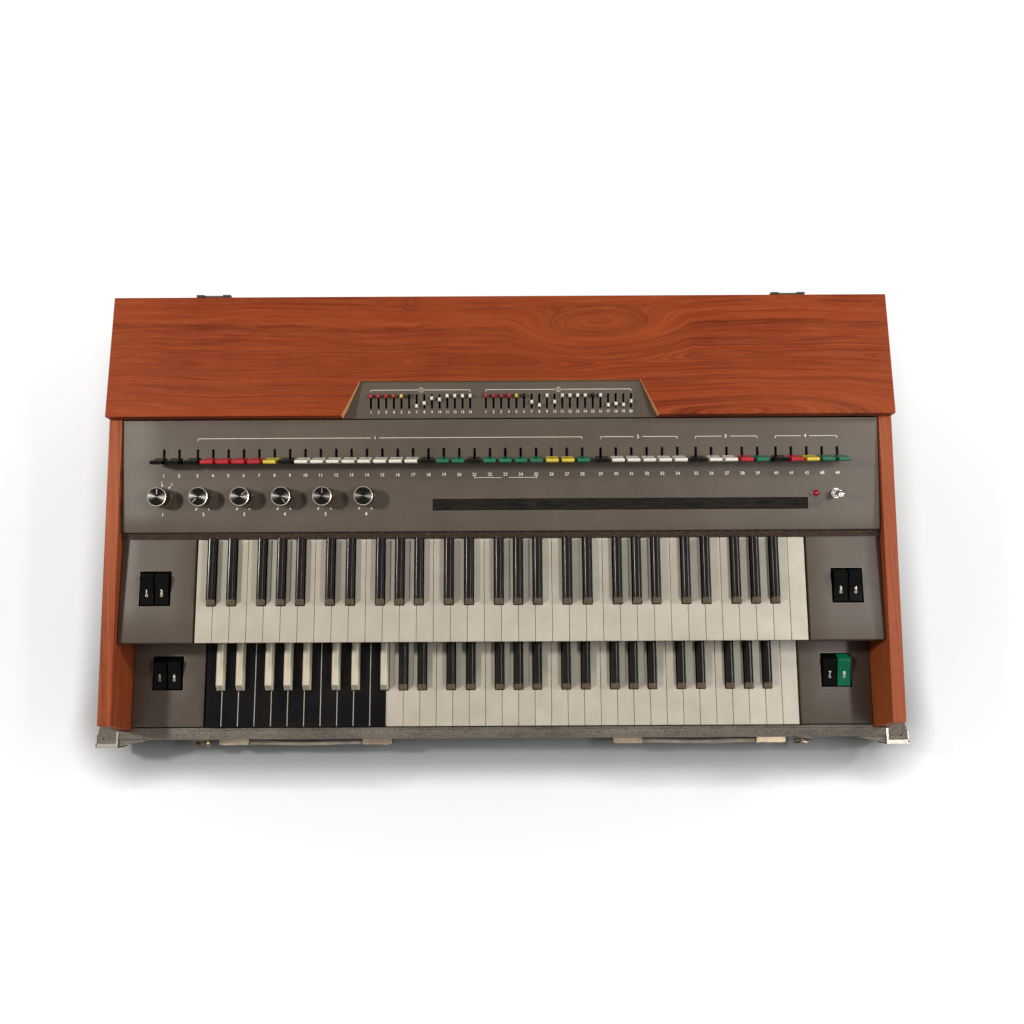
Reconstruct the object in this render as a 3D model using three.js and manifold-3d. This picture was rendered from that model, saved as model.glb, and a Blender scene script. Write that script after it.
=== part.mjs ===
// A portable combo organ with two manuals, in millimetres, +Z up and +Y to the rear.
// The origin is the middle of the box's underside.
// A cloth-covered base tray holds wooden side panels, a wooden top cover, a metal control
// panel, a small preset panel in a notch of the cover, and two keyboards of 61 keys.
import * as THREE from 'three';
import { mergeVertices } from 'three/addons/utils/BufferGeometryUtils.js';
import Module from 'manifold-3d';

const wasm = await Module();
wasm.setup();

// Clearances shared by all pieces
const seat = 0.3; // between pieces that rest on or fill each other
const runningGap = 0.3; // between a moving piece and its bearing
const overrun = 1; // how far a cutting tool reaches past the face it cuts
const weldDistance = 0.0001; // points closer than this are one point
const flatness = 0.002; // faces that lie closer than this to one plane become one face
const roundSteps = 12; // sides of a small turned piece
const barSides = 8; // sides of a hidden shaft and of its bearings

// Base tray, a plywood box covered in cloth
const trayLedge = 23.5; // from the case to the tray's side edges
const trayRearLedge = 1.3; // from the case to the tray's rear wall
const trayHeight = 73;
const trayFloor = 12;
const trayFrontWall = 13.2;
const trayRearWall = 22;
const trayCornerRadius = 5;

// Wooden case
const boardThickness = 18;
const sideToeY = 0.6; // from the tray's front wall to the foot of the side panel
const sideRake = 10; // how far the front edge of a side panel leans back
const sideTopFrontZ = 150;
const sideTopRearZ = 168;
const coverDepth = 176.5;
const coverPanelGap = 1.2; // from the control panel to the cover's front edge
const coverFrontZ = 185;
const coverRearZ = 176;
const coverThickness = 18;
const rearBoardThickness = 12;
const rearBoardInset = 2;

// Keys
const keyPitch = 23.5;
const keyGap = 1;
const naturalsPerOctave = 7;
const octaveCount = 5;
const keyTopLength = 143;
const keyHeadLength = 50;
const keyThickness = 12;
const keyLipHeight = 16;
const keyLipDepth = 5;
const keyEdgeRadius = 2;
const sharpSlotWidth = 13.5;
const sharpWidth = 11.5;
const sharpHeight = 12;
const sharpSlope = 6;
const sharpFrontGap = 1.2;
const sharpNose = 0.8;
const sharpLap = 2; // how far a sharp's cap runs on behind the naturals' caps
const keyTailLength = 62; // of the thin lever that runs from a cap's rear to the comb
const combGap = 2;
const combDepth = 10;
const combThickness = 2.2;
const combRise = 3; // from one set's comb strip to the next one's
const combBase = 0.2; // from the underside of the keys to the lowest strip
const keyDip = 10;

// Manuals
const lowerTopZ = 81;
const manualRise = 64;
const manualSetback = 117;
const lowerFrontY = 18; // from the tray's front face to the lower keys' front
const bassNaturals = 11;

// Key frames
const frameSideGap = 6.5;
const frameSheet = 3;
const frameDrop = 43; // from the key tops to the shelf's top face
const stopRailDepth = 12;
const stopRailInset = 9;
const stopRailClearance = 0.6;
const frameLegY = 18; // from the upper keys' front to the frame's legs

// Cheek plates beside the keys
const sheet = 2;
const cheekKeyGap = 3;
const cheekWidth = 103.7;
const cheekFlange = 38;
const lowerCheekDrop = 5;
const lowerCheekSkirt = 54;
const cheekTread = 3; // gap from the upper cheek's skirt to the lower cheek
const lowerCheekLap = 15; // how far the lower cheek runs in under the upper one

// Rocker tablets in their wells
const wellWidth = 44.5;
const wellDepth = 49;
const wellSink = 22;
const wellWall = 1.5;
const rockerPinRadius = 2.5;
const rockerPinDrop = 6;
const rockerBore = 2.8;
const rockerSideGap = 2.4;
const rockerMiddleGap = 1.6;
const rockerHubDrop = 5;
const rockerRise = 9;
const rockerEndRise = 1.5;
const rockerCreaseShare = 0.18;
const rockerEndGap = 1.6;
const rockerSkirt = 3;
const rockerInset = 49.7; // from the cheek's outer edge to the middle of the well
const upperRockerSetback = 75; // from the upper keys' front to the middle of the well
const lowerRockerSetback = 76;

// Felt strip between the upper keys and the control panel
const slipGap = 3;
const slipDepth = 5.7;
const slipRise = 4;
const slipDrop = 2.5;

// Control panel, a folded sheet that slopes up to the rear
const panelRun = 157;
const panelRise = 13;
const panelFrontLift = 8;
const panelFrontFlange = 9;
const panelSideFlange = 22;
const knobPitch = 56.76;
const knobInset = 56.9; // from the panel's left edge to the first knob
const knobV = 48.7;
const knobRadius = 14;
const knobTopRadius = 13.2;
const knobHeight = 22;
const knobLift = 0.6;
const knobChamfer = 0.8;
const knobCount = 6;
const knobSides = 16;
const shaftRadius = 3;
const shaftDrop = 8;
const ribbonLeftGap = 94; // from the last knob to the ribbon
const ribbonInset = 101.3; // from the ribbon to the panel's right edge
const ribbonV = 37.5;
const ribbonWidth = 15.8;
const ribbonSink = 0.8;
const ribbonFlange = 4;
const ribbonBody = 6;
const lampInset = 90.5;
const lampV = 51;
const lampRadius = 5.5;
const lampDome = 4;
const lampFlange = 1.5;
const lampBody = 14;
const switchInset = 61.7;
const switchNutRadius = 7;
const switchNutHeight = 2.5;
const switchBushRadius = 5.8;
const switchBushHeight = 8;
const switchBore = 4.2;
const switchThroat = 2.6; // from the pivot up to where the bore opens out to its full width
const switchPivotLift = 2;
const switchThrow = Math.PI / 14; // how far the switch leans to either side
const switchNeckRadius = 1.7;
const switchTipRadius = 3.6;
const switchLength = 22; // from the pivot to the tip

// Tone levers on the control panel
const leverInset = 58.66; // from the panel's edge to the outermost lever
const leverBankGap = 4.18; // extra room between two banks
const leverGap = 4.5; // between two levers' heads
const leverBanks = [
  { name: 'vibrato_levers', count: 2, colour: 0x1b1a19 },
  { name: 'upper_levers', count: 26, colour: 0xd9d4c8 },
  { name: 'lower_levers', count: 6, colour: 0xd9d4c8 },
  { name: 'bass_levers', count: 5, colour: 0xd9d4c8 },
  { name: 'glide_levers', count: 5, colour: 0x117a55 },
];
const slotLength = 19.4;
const slotWidth = 3;
const slotV = 107;
const slotEndGap = 0.5;
const stemWidth = 2.4;
const stemDepth = 4.4;
const pivotDrop = 60;
const headLift = 9; // from the panel to the head's front edge
const headRearLift = 10;
const headFront = 5.7; // from the stem to the head's front edge
const headRear = 3.5;
const headHeight = 34;
const headLean = 1.9; // how far the lip stands in front of the head's front edge
const headLip = 3;
const shaftBarRadius = 4;
const earThickness = 5;
const earWidth = 16;
const earBelow = 8;

// Preset panel with its small sliders
const notchFlare = 24.5; // how much wider the notch is at its front, on each side
const notchMargin = 13.75; // from the outermost sliders to the notch's rear corners
const notchDepth = 50.4;
const presetGap = 0.4;
const presetRearGap = 0.9;
const presetFrontLift = 21.5;
const presetRearLift = 33;
const sliderPitch = 10.7;
const sliderBankGap = 22.1;
const sliderOffset = 0.75; // how far the rows stand to the right of the middle
const sliderBanks = [
  { count: 14, drawn: [6, 7, 8, 9], drawnShares: [0.89, 0.63, 0.2, 0.31] },
  {
    count: 20,
    drawn: [6, 7, 9, 16, 17, 18, 19],
    drawnShares: [0.57, 0.86, 0.57, 0.86, 0.76, 0.85, 0.54],
  },
];
const sliderSlotWidth = 3.1;
const sliderSlotLength = 20;
const sliderSlotV = 23.6;
const sliderEndGap = 1;
const sliderCapWidth = 4.4;
const sliderCapDepth = 6;
const sliderCapHeight = 7;
const sliderCapLift = 0.6;
const sliderStemWidth = 1.6;
const sliderStemDepth = 3;
const carriageDrop = 20;
const carriageThickness = 2;
const carriageBar = 4;
const guideMargin = 7.75; // from the outermost sliders to the webs
const webSetback = 10;
const rearBarV = 49;
const frontBarV = 0.8;

// Pieces on the outside of the tray
const guardLeg = 42;
const guardSheet = 2.5;
const guardFlare = 6;
const guardHeight = 66;
const handleLength = 249;
const handleInset = 286.5; // from the tray's side to the middle of the strap
const handleCapLength = 42;
const handleCapReach = 9;
const handleCapHeight = 26;
const handleCapWall = 1.5;
const strapWidth = 20;
const strapThickness = 3;
const strapReach = 11;
const strapZ = 38;
const strapSteps = 10;
const latchGap = 25.5; // from a strap's end cap to the middle of the latch
const latchZ = 44;
const latchPlateWidth = 26;
const latchPlateHeight = 40;
const latchPlateSheet = 2;
const latchPinRadius = 4;
const latchPinReach = 2.5;
const latchWingLength = 24;
const latchWingWidth = 11;
const latchWingSheet = 3;
const latchGripReach = 3;
const latchGripSheet = 2.4;
const hingeInset = 134.5;
const hingeWidth = 52;
const hingeKnuckle = 12;
const hingeRadius = 7;
const hingeReach = 18;
const hingeSheet = 3;
const hingeLeafHeight = 44;

// Inside the case
const boardInset = 100; // from the case's left wall to the board
const boardDepth = 190;
const boardSheet = 2;
const boardRise = 14;
const boardPost = 8;
const chipRows = 3;
const chipColumns = 6;
const chipSize = 26;
const chipHeight = 6;
const transformerWidth = 84;
const transformerDepth = 72;
const transformerHeight = 70;
const transformerInset = 130; // from the case's right wall to the transformer's middle
const transformerWindow = 14;
const transformerGap = 88; // from the board to the transformer
const innerRearGap = 40;
const jackPlateWidth = 140;
const jackPlateHeight = 46;
const jackInset = 200; // from the case's left wall to the plate's middle
const jackZ = 112;
const jackPitch = 24;
const jackCount = 3;
const firstJackX = -2;
const jackBush = 7;
const jackWindowMargin = 14;
const jackBore = 3.4;
const jackReach = 4;
const inletWidth = 30;
const inletHeight = 20;
const inletX = 30;

// Places worked out from the sizes above
const manualWidth = keyPitch * (naturalsPerOctave * octaveCount + 1);
const manualLeft = -manualWidth / 2;
const cheekInnerX = manualWidth / 2 + cheekKeyGap;
const cheekOuterX = cheekInnerX + cheekWidth;
const caseInnerX = cheekOuterX + seat;
const caseOuterX = caseInnerX + boardThickness;
const trayWidth = 2 * (caseOuterX + trayLedge);
const keysToPanel = keyTopLength + slipGap + slipDepth + seat; // from the upper keys' front to the panel's
const panelToRear = panelRun + coverPanelGap + coverDepth;
const trayDepth = lowerFrontY + manualSetback + keysToPanel + panelToRear + trayRearLedge + trayRearWall;
const overallDepth = strapReach + trayDepth + hingeReach;
const trayFrontY = -overallDepth / 2 + strapReach;
const trayRearY = trayFrontY + trayDepth;
const floorZ = trayFloor + seat;
const sideFrontY = trayFrontY + trayFrontWall + sideToeY;
const lowerKeyY = trayFrontY + lowerFrontY;
const upperKeyY = lowerKeyY + manualSetback;
const upperTopZ = lowerTopZ + manualRise;
const octaveWidth = keyPitch * naturalsPerOctave;
const capRearY = upperKeyY + keyTopLength;
const panelFrontY = upperKeyY + keysToPanel;
const panelFrontZ = upperTopZ + panelFrontLift;
const panelSlope = Math.atan2(panelRise, panelRun);
const panelLength = Math.hypot(panelRise, panelRun);
const panelHalf = caseInnerX - seat;
const coverFrontY = panelFrontY + panelRun + coverPanelGap;
const coverRearY = coverFrontY + coverDepth;
const coverSlope = (coverFrontZ - coverRearZ) / coverDepth;
const rockerX = cheekOuterX - rockerInset;
const firstKnobX = knobInset - panelHalf;
const ribbonLeftX = firstKnobX + (knobCount - 1) * knobPitch + ribbonLeftGap;
const ribbonRightX = panelHalf - ribbonInset;
const lampX = panelHalf - lampInset;
const switchX = panelHalf - switchInset;
const leverSteps = leverBanks.reduce((sum, bank) => sum + bank.count, -1);
const leverRoom = 2 * (panelHalf - leverInset) - (leverBanks.length - 1) * leverBankGap;
const leverPitch = leverRoom / leverSteps;
const headWidth = leverPitch - leverGap;
const sliderSteps = sliderBanks.reduce((sum, bank) => sum + bank.count - 1, 0);
const sliderHalf = (sliderSteps * sliderPitch + (sliderBanks.length - 1) * sliderBankGap) / 2;
const notchRearHalf = sliderHalf + notchMargin;
const notchFrontHalf = notchRearHalf + notchFlare;
const guideHalf = sliderHalf + guideMargin;
const handleX = trayWidth / 2 - handleInset;
const latchX = handleX + handleLength / 2 + latchGap;
const hingeX = trayWidth / 2 - hingeInset;
const jackX = jackInset - caseInnerX;
const transformerX = caseInnerX - transformerInset;

// Solids from closed meshes, and back to a geometry for the scene
function toSolid(geometry) {
  const bare = geometry.index ? geometry.toNonIndexed() : geometry.clone();
  bare.deleteAttribute('normal');
  bare.deleteAttribute('uv');
  const merged = mergeVertices(bare, weldDistance);
  return new wasm.Manifold(
    new wasm.Mesh({
      numProp: 3,
      vertProperties: new Float32Array(merged.attributes.position.array),
      triVerts: new Uint32Array(merged.index.array),
    }),
  );
}

function toGeometry(solid) {
  const mesh = solid.simplify(flatness).getMesh();
  const geometry = new THREE.BufferGeometry();
  geometry.setAttribute('position', new THREE.BufferAttribute(new Float32Array(mesh.vertProperties), 3));
  geometry.setIndex(new THREE.BufferAttribute(new Uint32Array(mesh.triVerts), 1));
  geometry.computeVertexNormals();
  return geometry;
}

function joined(solids) {
  return solids.reduce((sum, next) => sum.add(next));
}

// The same piece for the other side: mirrored in the plane X = 0
function otherSide(solid) {
  const geometry = toGeometry(solid);
  geometry.scale(-1, 1, 1);
  const corners = geometry.index.array;
  for (let i = 0; i < corners.length; i += 3) {
    [corners[i], corners[i + 1]] = [corners[i + 1], corners[i]];
  }
  return toSolid(geometry);
}

// A box between two corners
function block(x0, x1, y0, y1, z0, z1) {
  const geometry = new THREE.BoxGeometry(x1 - x0, y1 - y0, z1 - z0);
  geometry.translate((x0 + x1) / 2, (y0 + y1) / 2, (z0 + z1) / 2);
  return toSolid(geometry);
}

// An outline of [y, z] points drawn out along X
function profileAlongX(points, x0, x1) {
  const shape = new THREE.Shape(points.map(([y, z]) => new THREE.Vector2(y, z)));
  const geometry = new THREE.ExtrudeGeometry(shape, { depth: x1 - x0, bevelEnabled: false });
  const toYZX = new THREE.Matrix4().makeBasis(
    new THREE.Vector3(0, 1, 0),
    new THREE.Vector3(0, 0, 1),
    new THREE.Vector3(1, 0, 0),
  );
  geometry.applyMatrix4(toYZX);
  geometry.translate(x0, 0, 0);
  return toSolid(geometry);
}

// An outline of [x, z] points drawn out along Y
function faceAlongY(points, y0, y1) {
  const shape = new THREE.Shape(points.map(([x, z]) => new THREE.Vector2(x, z)));
  const geometry = new THREE.ExtrudeGeometry(shape, { depth: y1 - y0, bevelEnabled: false });
  geometry.rotateX(Math.PI / 2);
  geometry.translate(0, y1, 0);
  return toSolid(geometry);
}

// An outline of [x, y] points drawn up along Z
function planAlongZ(points, z0, z1) {
  const shape = new THREE.Shape(points.map(([x, y]) => new THREE.Vector2(x, y)));
  const geometry = new THREE.ExtrudeGeometry(shape, { depth: z1 - z0, bevelEnabled: false });
  geometry.translate(0, 0, z0);
  return toSolid(geometry);
}

// A turned piece whose [radius, z] profile starts and ends on the axis
function turned(profile, sides, x, y) {
  const points = profile.map(([radius, z]) => new THREE.Vector2(radius, z));
  const geometry = new THREE.LatheGeometry(points, sides);
  geometry.rotateX(Math.PI / 2);
  geometry.translate(x, y, 0);
  return toSolid(geometry);
}

function rod(radius, x0, x1, y, z, sides) {
  const geometry = new THREE.CylinderGeometry(radius, radius, x1 - x0, sides);
  geometry.rotateZ(Math.PI / 2);
  geometry.translate((x0 + x1) / 2, y, z);
  return toSolid(geometry);
}

function stud(radius, x, y0, y1, z, sides) {
  const geometry = new THREE.CylinderGeometry(radius, radius, y1 - y0, sides);
  geometry.translate(x, (y0 + y1) / 2, z);
  return toSolid(geometry);
}

function arcPoints(centreA, centreB, radius, from, to, steps) {
  return Array.from({ length: steps + 1 }, (_, i) => {
    const angle = from + ((to - from) * i) / steps;
    return [centreA + radius * Math.cos(angle), centreB + radius * Math.sin(angle)];
  });
}

const organ = new THREE.Group();
const controlDeck = new THREE.Group();
controlDeck.position.set(0, panelFrontY, panelFrontZ);
controlDeck.rotation.x = panelSlope;
organ.add(controlDeck);

function place(name, solid, colour, roughness, metalness, parent = organ) {
  const material = new THREE.MeshStandardMaterial({ color: colour, roughness, metalness });
  const mesh = new THREE.Mesh(toGeometry(solid), material);
  mesh.name = name;
  parent.add(mesh);
  return mesh;
}

const colours = {
  cloth: 0x6f675d,
  wood: 0x97502e,
  paint: 0x6d6257,
  steel: 0x8f8f8c,
  chrome: 0xc4c2bd,
  ivory: 0xe0dacb,
  black: 0x181818,
  bed: 0xa9845a,
  felt: 0x3a2a22,
  board: 0x6a7a3e,
  red: 0xb01822,
  green: 0x117a55,
};

// Base tray: a box with rounded upright corners and an open top
function baseTray() {
  const halfX = trayWidth / 2;
  const r = trayCornerRadius;
  const quarter = Math.PI / 2;
  const corner = (x, y, start) => arcPoints(x, y, r, start, start + quarter, 3);
  const outline = [
    ...corner(halfX - r, trayRearY - r, 0),
    ...corner(r - halfX, trayRearY - r, quarter),
    ...corner(r - halfX, trayFrontY + r, 2 * quarter),
    ...corner(halfX - r, trayFrontY + r, 3 * quarter),
  ];
  const shell = planAlongZ(outline, 0, trayHeight);
  const pocketX = caseOuterX + seat;
  const pocketRear = trayRearY - trayRearWall;
  const pocket = block(-pocketX, pocketX, trayFrontY + trayFrontWall, pocketRear, trayFloor, trayHeight + overrun);
  const caps = [];
  for (const side of [-1, 1]) {
    for (const end of [-1, 1]) {
      caps.push(handleCap(side * handleX, end));
    }
  }
  const plates = [-latchX, latchX].map((x) => {
    const z0 = latchZ - latchPlateHeight / 2;
    const half = latchPlateWidth / 2;
    return block(x - half, x + half, trayFrontY - latchPlateSheet, trayFrontY + seat, z0, z0 + latchPlateHeight);
  });
  return joined([shell.subtract(pocket), ...caps, ...plates]);
}

// A fixed end cap that holds one end of a carrying strap
function handleCap(x, end) {
  const outerEnd = x + (end * handleLength) / 2;
  const innerEnd = outerEnd - end * handleCapLength;
  const x0 = Math.min(outerEnd, innerEnd);
  const x1 = Math.max(outerEnd, innerEnd);
  const z0 = strapZ - handleCapHeight / 2;
  const z1 = strapZ + handleCapHeight / 2;
  const front = trayFrontY - handleCapReach;
  const cap = block(x0, x1, front, trayFrontY + seat, z0, z1);
  const open = end > 0 ? [x0 - overrun, x1 - handleCapWall] : [x0 + handleCapWall, x1 + overrun];
  const mouth = block(open[0], open[1], front + handleCapWall, trayFrontY, z0 + handleCapWall, z1 - handleCapWall);
  return cap.subtract(mouth);
}

// Side panel: a board with a sloping top edge and a raked front edge
function sidePanel(side) {
  const underCover = coverFrontZ - coverThickness - seat;
  const underRear = coverRearZ - coverThickness - seat;
  const outline = [
    [sideFrontY, floorZ],
    [coverRearY, floorZ],
    [coverRearY, underRear],
    [coverFrontY - seat, underCover],
    [coverFrontY - seat, sideTopRearZ],
    [sideFrontY + sideRake, sideTopFrontZ],
    [sideFrontY, trayHeight],
  ];
  const x0 = side < 0 ? -caseOuterX : caseInnerX;
  return profileAlongX(outline, x0, x0 + boardThickness);
}

// Top cover: a sloping board with a notch in its front edge for the preset panel
function topCover() {
  const board = profileAlongX(
    [
      [coverFrontY, coverFrontZ - coverThickness],
      [coverRearY, coverRearZ - coverThickness],
      [coverRearY, coverRearZ],
      [coverFrontY, coverFrontZ],
    ],
    -caseOuterX,
    caseOuterX,
  );
  const flare = ((notchFrontHalf - notchRearHalf) * overrun) / notchDepth;
  const notch = planAlongZ(
    [
      [-notchFrontHalf - flare, coverFrontY - overrun],
      [notchFrontHalf + flare, coverFrontY - overrun],
      [notchRearHalf, coverFrontY + notchDepth],
      [-notchRearHalf, coverFrontY + notchDepth],
    ],
    coverRearZ - coverThickness - overrun,
    coverFrontZ + overrun,
  );
  return board.subtract(notch);
}

// Rear board between the side panels, with a window for the sockets
function rearPanel() {
  const y1 = coverRearY - rearBoardInset;
  const y0 = y1 - rearBoardThickness;
  const top = coverRearZ - coverThickness - seat + coverSlope * rearBoardInset;
  const board = block(-cheekOuterX, cheekOuterX, y0, y1, floorZ, top);
  const x0 = jackX - jackPlateWidth / 2 + jackWindowMargin;
  const x1 = jackX + jackPlateWidth / 2 - jackWindowMargin;
  const z0 = jackZ - jackPlateHeight / 2 + jackBush;
  const z1 = jackZ + jackPlateHeight / 2 - jackBush;
  return board.subtract(block(x0, x1, y0 - overrun, y1 + overrun, z0, z1));
}

// Socket plate on the rear board: bushed sockets and an inlet
function jackPanel() {
  const y0 = coverRearY - rearBoardInset + seat;
  const y1 = y0 + sheet;
  const x0 = jackX - jackPlateWidth / 2;
  const z0 = jackZ - jackPlateHeight / 2;
  const plate = block(x0, x0 + jackPlateWidth, y0, y1, z0, z0 + jackPlateHeight);
  let solid = plate;
  const places = Array.from({ length: jackCount }, (_, i) => jackX + firstJackX - jackPitch * i);
  for (const x of places) {
    solid = solid.add(stud(jackBush, x, y0, y1 + jackReach, jackZ, roundSteps));
  }
  for (const x of places) {
    solid = solid.subtract(stud(jackBore, x, y0 - overrun, y1 + jackReach + overrun, jackZ, roundSteps));
  }
  const inlet = jackX + inletX;
  const half = inletWidth / 2;
  const rim = inletHeight / 2;
  const collar = block(inlet - half, inlet + half, y0, y1 + jackReach, jackZ - rim, jackZ + rim);
  const mouth = block(
    inlet - half + sheet,
    inlet + half - sheet,
    y0 - overrun,
    y1 + jackReach + overrun,
    jackZ - rim + sheet,
    jackZ + rim - sheet,
  );
  return solid.add(collar).subtract(mouth);
}

place('base_tray', baseTray(), colours.cloth, 0.9, 0);
place('side_panel_left', sidePanel(-1), colours.wood, 0.45, 0);
place('side_panel_right', sidePanel(1), colours.wood, 0.45, 0);
place('top_cover', topCover(), colours.wood, 0.4, 0);
place('rear_panel', rearPanel(), colours.wood, 0.6, 0);
place('jack_panel', jackPanel(), colours.steel, 0.4, 0.8);

// Keyboard pattern: an octave is a group of three naturals and a group of four, and the
// sharps' slots share each group's width evenly with the tails of its naturals
function sharpSlots() {
  const slots = [];
  const groups = [
    { naturals: 3, start: 0 },
    { naturals: 4, start: 3 },
  ];
  for (let octave = 0; octave < octaveCount; octave += 1) {
    for (const { naturals, start } of groups) {
      const sharps = naturals - 1;
      const tail = (naturals * keyPitch - sharps * sharpSlotWidth) / naturals;
      for (let k = 1; k <= sharps; k += 1) {
        const groupX = manualLeft + octave * octaveWidth + start * keyPitch;
        const x0 = groupX + k * tail + (k - 1) * sharpSlotWidth;
        slots.push({ x0, x1: x0 + sharpSlotWidth, natural: octave * naturalsPerOctave + start + k });
      }
    }
  }
  return slots;
}

const slots = sharpSlots();

// The comb strip that carries one set of keys at its rear: sets lie one above another
function combLevel(level, topZ) {
  return topZ - keyThickness + combBase + level * combRise;
}

function combStrip(level, frontY, topZ, x0, x1) {
  const z0 = combLevel(level, topZ);
  const y0 = frontY + keyTopLength + keyTailLength + combGap;
  return block(x0, x1, y0, y0 + combDepth, z0, z0 + combThickness);
}

// The rear of a key's profile: behind the cap only a thin lever runs on into the strip
function leverOutline(level, capRear, frontY, topZ) {
  const end = frontY + keyTopLength + keyTailLength + combGap + combDepth / 2;
  const z0 = combLevel(level, topZ);
  return [
    [capRear, topZ - keyThickness],
    [capRear, z0],
    [end, z0],
    [end, z0 + combThickness],
    [capRear, z0 + combThickness],
  ];
}

// A natural: a cap with an eased front edge over a deeper lip, and its lever to the comb
function natural(index, level, frontY, topZ) {
  const x0 = manualLeft + index * keyPitch + keyGap / 2;
  const x1 = x0 + keyPitch - keyGap;
  const capRear = frontY + keyTopLength;
  return profileAlongX(
    [
      [frontY, topZ - keyLipHeight],
      [frontY + keyLipDepth, topZ - keyLipHeight],
      [frontY + keyLipDepth, topZ - keyThickness],
      ...leverOutline(level, capRear, frontY, topZ),
      [capRear, topZ],
      [frontY + keyEdgeRadius, topZ],
      [frontY, topZ - keyEdgeRadius],
    ],
    x0,
    x1,
  );
}

// A sharp: a raised cap with a sloping front on the same kind of lever
function sharp(slot, level, frontY, topZ) {
  const x0 = (slot.x0 + slot.x1 - sharpWidth) / 2;
  const front = frontY + keyHeadLength + sharpFrontGap;
  const capRear = frontY + keyTopLength + sharpLap;
  return profileAlongX(
    [
      [front, topZ - keyThickness],
      ...leverOutline(level, capRear, frontY, topZ),
      [capRear, topZ + sharpHeight],
      [front + sharpSlope, topZ + sharpHeight],
      [front, topZ + sharpNose],
    ],
    x0,
    x0 + sharpWidth,
  );
}

function slotCutters(frontY, topZ, first, last) {
  const y0 = frontY + keyHeadLength;
  const y1 = frontY + keyTopLength + keyTailLength + combGap + overrun;
  return slots
    .filter(({ natural: above }) => above >= first && above <= last + 1)
    .map(({ x0, x1 }) => block(x0, x1, y0, y1, topZ - keyLipHeight - overrun, topZ + overrun));
}

// Tail middle of a natural, between the slots on its two sides
function tailMiddle(index) {
  const x0 = manualLeft + index * keyPitch + keyGap / 2;
  const x1 = x0 + keyPitch - keyGap;
  const left = slots.filter((s) => s.natural === index).map((s) => s.x1);
  const right = slots.filter((s) => s.natural === index + 1).map((s) => s.x0);
  return (Math.max(x0, ...left) + Math.min(x1, ...right)) / 2;
}

// Every second natural from first to last, on one comb strip
function naturalSet(first, last, level, frontY, topZ) {
  const indices = [];
  for (let i = first; i <= last; i += 2) {
    indices.push(i);
  }
  const keys = joined(indices.map((i) => natural(i, level, frontY, topZ)));
  const cutters = joined(slotCutters(frontY, topZ, first, last));
  const strip = combStrip(level, frontY, topZ, tailMiddle(indices[0]), tailMiddle(indices.at(-1)));
  return keys.subtract(cutters).add(strip);
}

function sharpSet(first, last, level, frontY, topZ) {
  const own = slots.filter(({ natural: above }) => above > first && above <= last);
  const keys = own.map((slot) => sharp(slot, level, frontY, topZ));
  const middles = own.map(({ x0, x1 }) => (x0 + x1) / 2);
  const strip = combStrip(level, frontY, topZ, middles[0], middles.at(-1));
  return joined([...keys, strip]);
}

const lastNatural = naturalsPerOctave * octaveCount;
const manuals = [
  { name: 'upper', frontY: upperKeyY, topZ: upperTopZ, first: 0, last: lastNatural, inverted: false },
  { name: 'lower', frontY: lowerKeyY, topZ: lowerTopZ, first: bassNaturals, last: lastNatural, inverted: false },
  { name: 'bass', frontY: lowerKeyY, topZ: lowerTopZ, first: 0, last: bassNaturals - 1, inverted: true },
];

for (const { name, frontY, topZ, first, last, inverted } of manuals) {
  const naturalColour = inverted ? colours.black : colours.ivory;
  const sharpColour = inverted ? colours.ivory : colours.black;
  const odd = naturalSet(first, last, 0, frontY, topZ);
  const even = naturalSet(first + 1, last, 1, frontY, topZ);
  place(`${name}_naturals_odd`, odd, naturalColour, 0.35, 0);
  place(`${name}_naturals_even`, even, naturalColour, 0.35, 0);
  place(`${name}_sharps`, sharpSet(first, inverted ? last + 1 : last, 2, frontY, topZ), sharpColour, 0.25, 0);
}

// Key frame: a shelf with a stop rail under the key fronts and a rail under the combs.
// The upper one stands on two side plates, and the lower one is a thick wooden bed
function keyFrame(frontY, topZ, footZ, legs) {
  const half = manualWidth / 2 + (legs ? frameSideGap + frameSheet : 0);
  const shelfTop = topZ - frameDrop;
  const shelfZ = shelfTop - frameSheet;
  const stopY = frontY + stopRailInset;
  const reach = keyTopLength + keyTailLength + combGap + combDepth / 2;
  const drop = (keyDip * (reach - stopRailInset)) / reach;
  const stopTop = topZ - keyThickness - drop - stopRailClearance;
  const combY = frontY + keyTopLength + keyTailLength + combGap;
  const rear = combY + combDepth;
  const keyHalf = manualWidth / 2;
  const shelf = block(-half, half, stopY, rear, shelfZ, shelfTop);
  const stop = block(-keyHalf, keyHalf, stopY, stopY + stopRailDepth, shelfZ, stopTop);
  const combRail = block(-keyHalf, keyHalf, combY, rear, shelfZ, topZ - keyThickness - seat);
  const pieces = [shelf, stop, combRail];
  if (legs) {
    for (const side of [-1, 1]) {
      const x = side * (half - frameSheet / 2);
      pieces.push(block(x - frameSheet / 2, x + frameSheet / 2, frontY + frameLegY, rear, footZ, shelfTop));
    }
  } else {
    pieces.push(block(-keyHalf, keyHalf, stopY, rear, footZ, shelfTop));
  }
  return joined(pieces);
}

place('upper_key_frame', keyFrame(upperKeyY, upperTopZ, floorZ, true), colours.steel, 0.5, 0.6);
place('lower_key_frame', keyFrame(lowerKeyY, lowerTopZ, floorZ, false), colours.bed, 0.8, 0);

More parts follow.
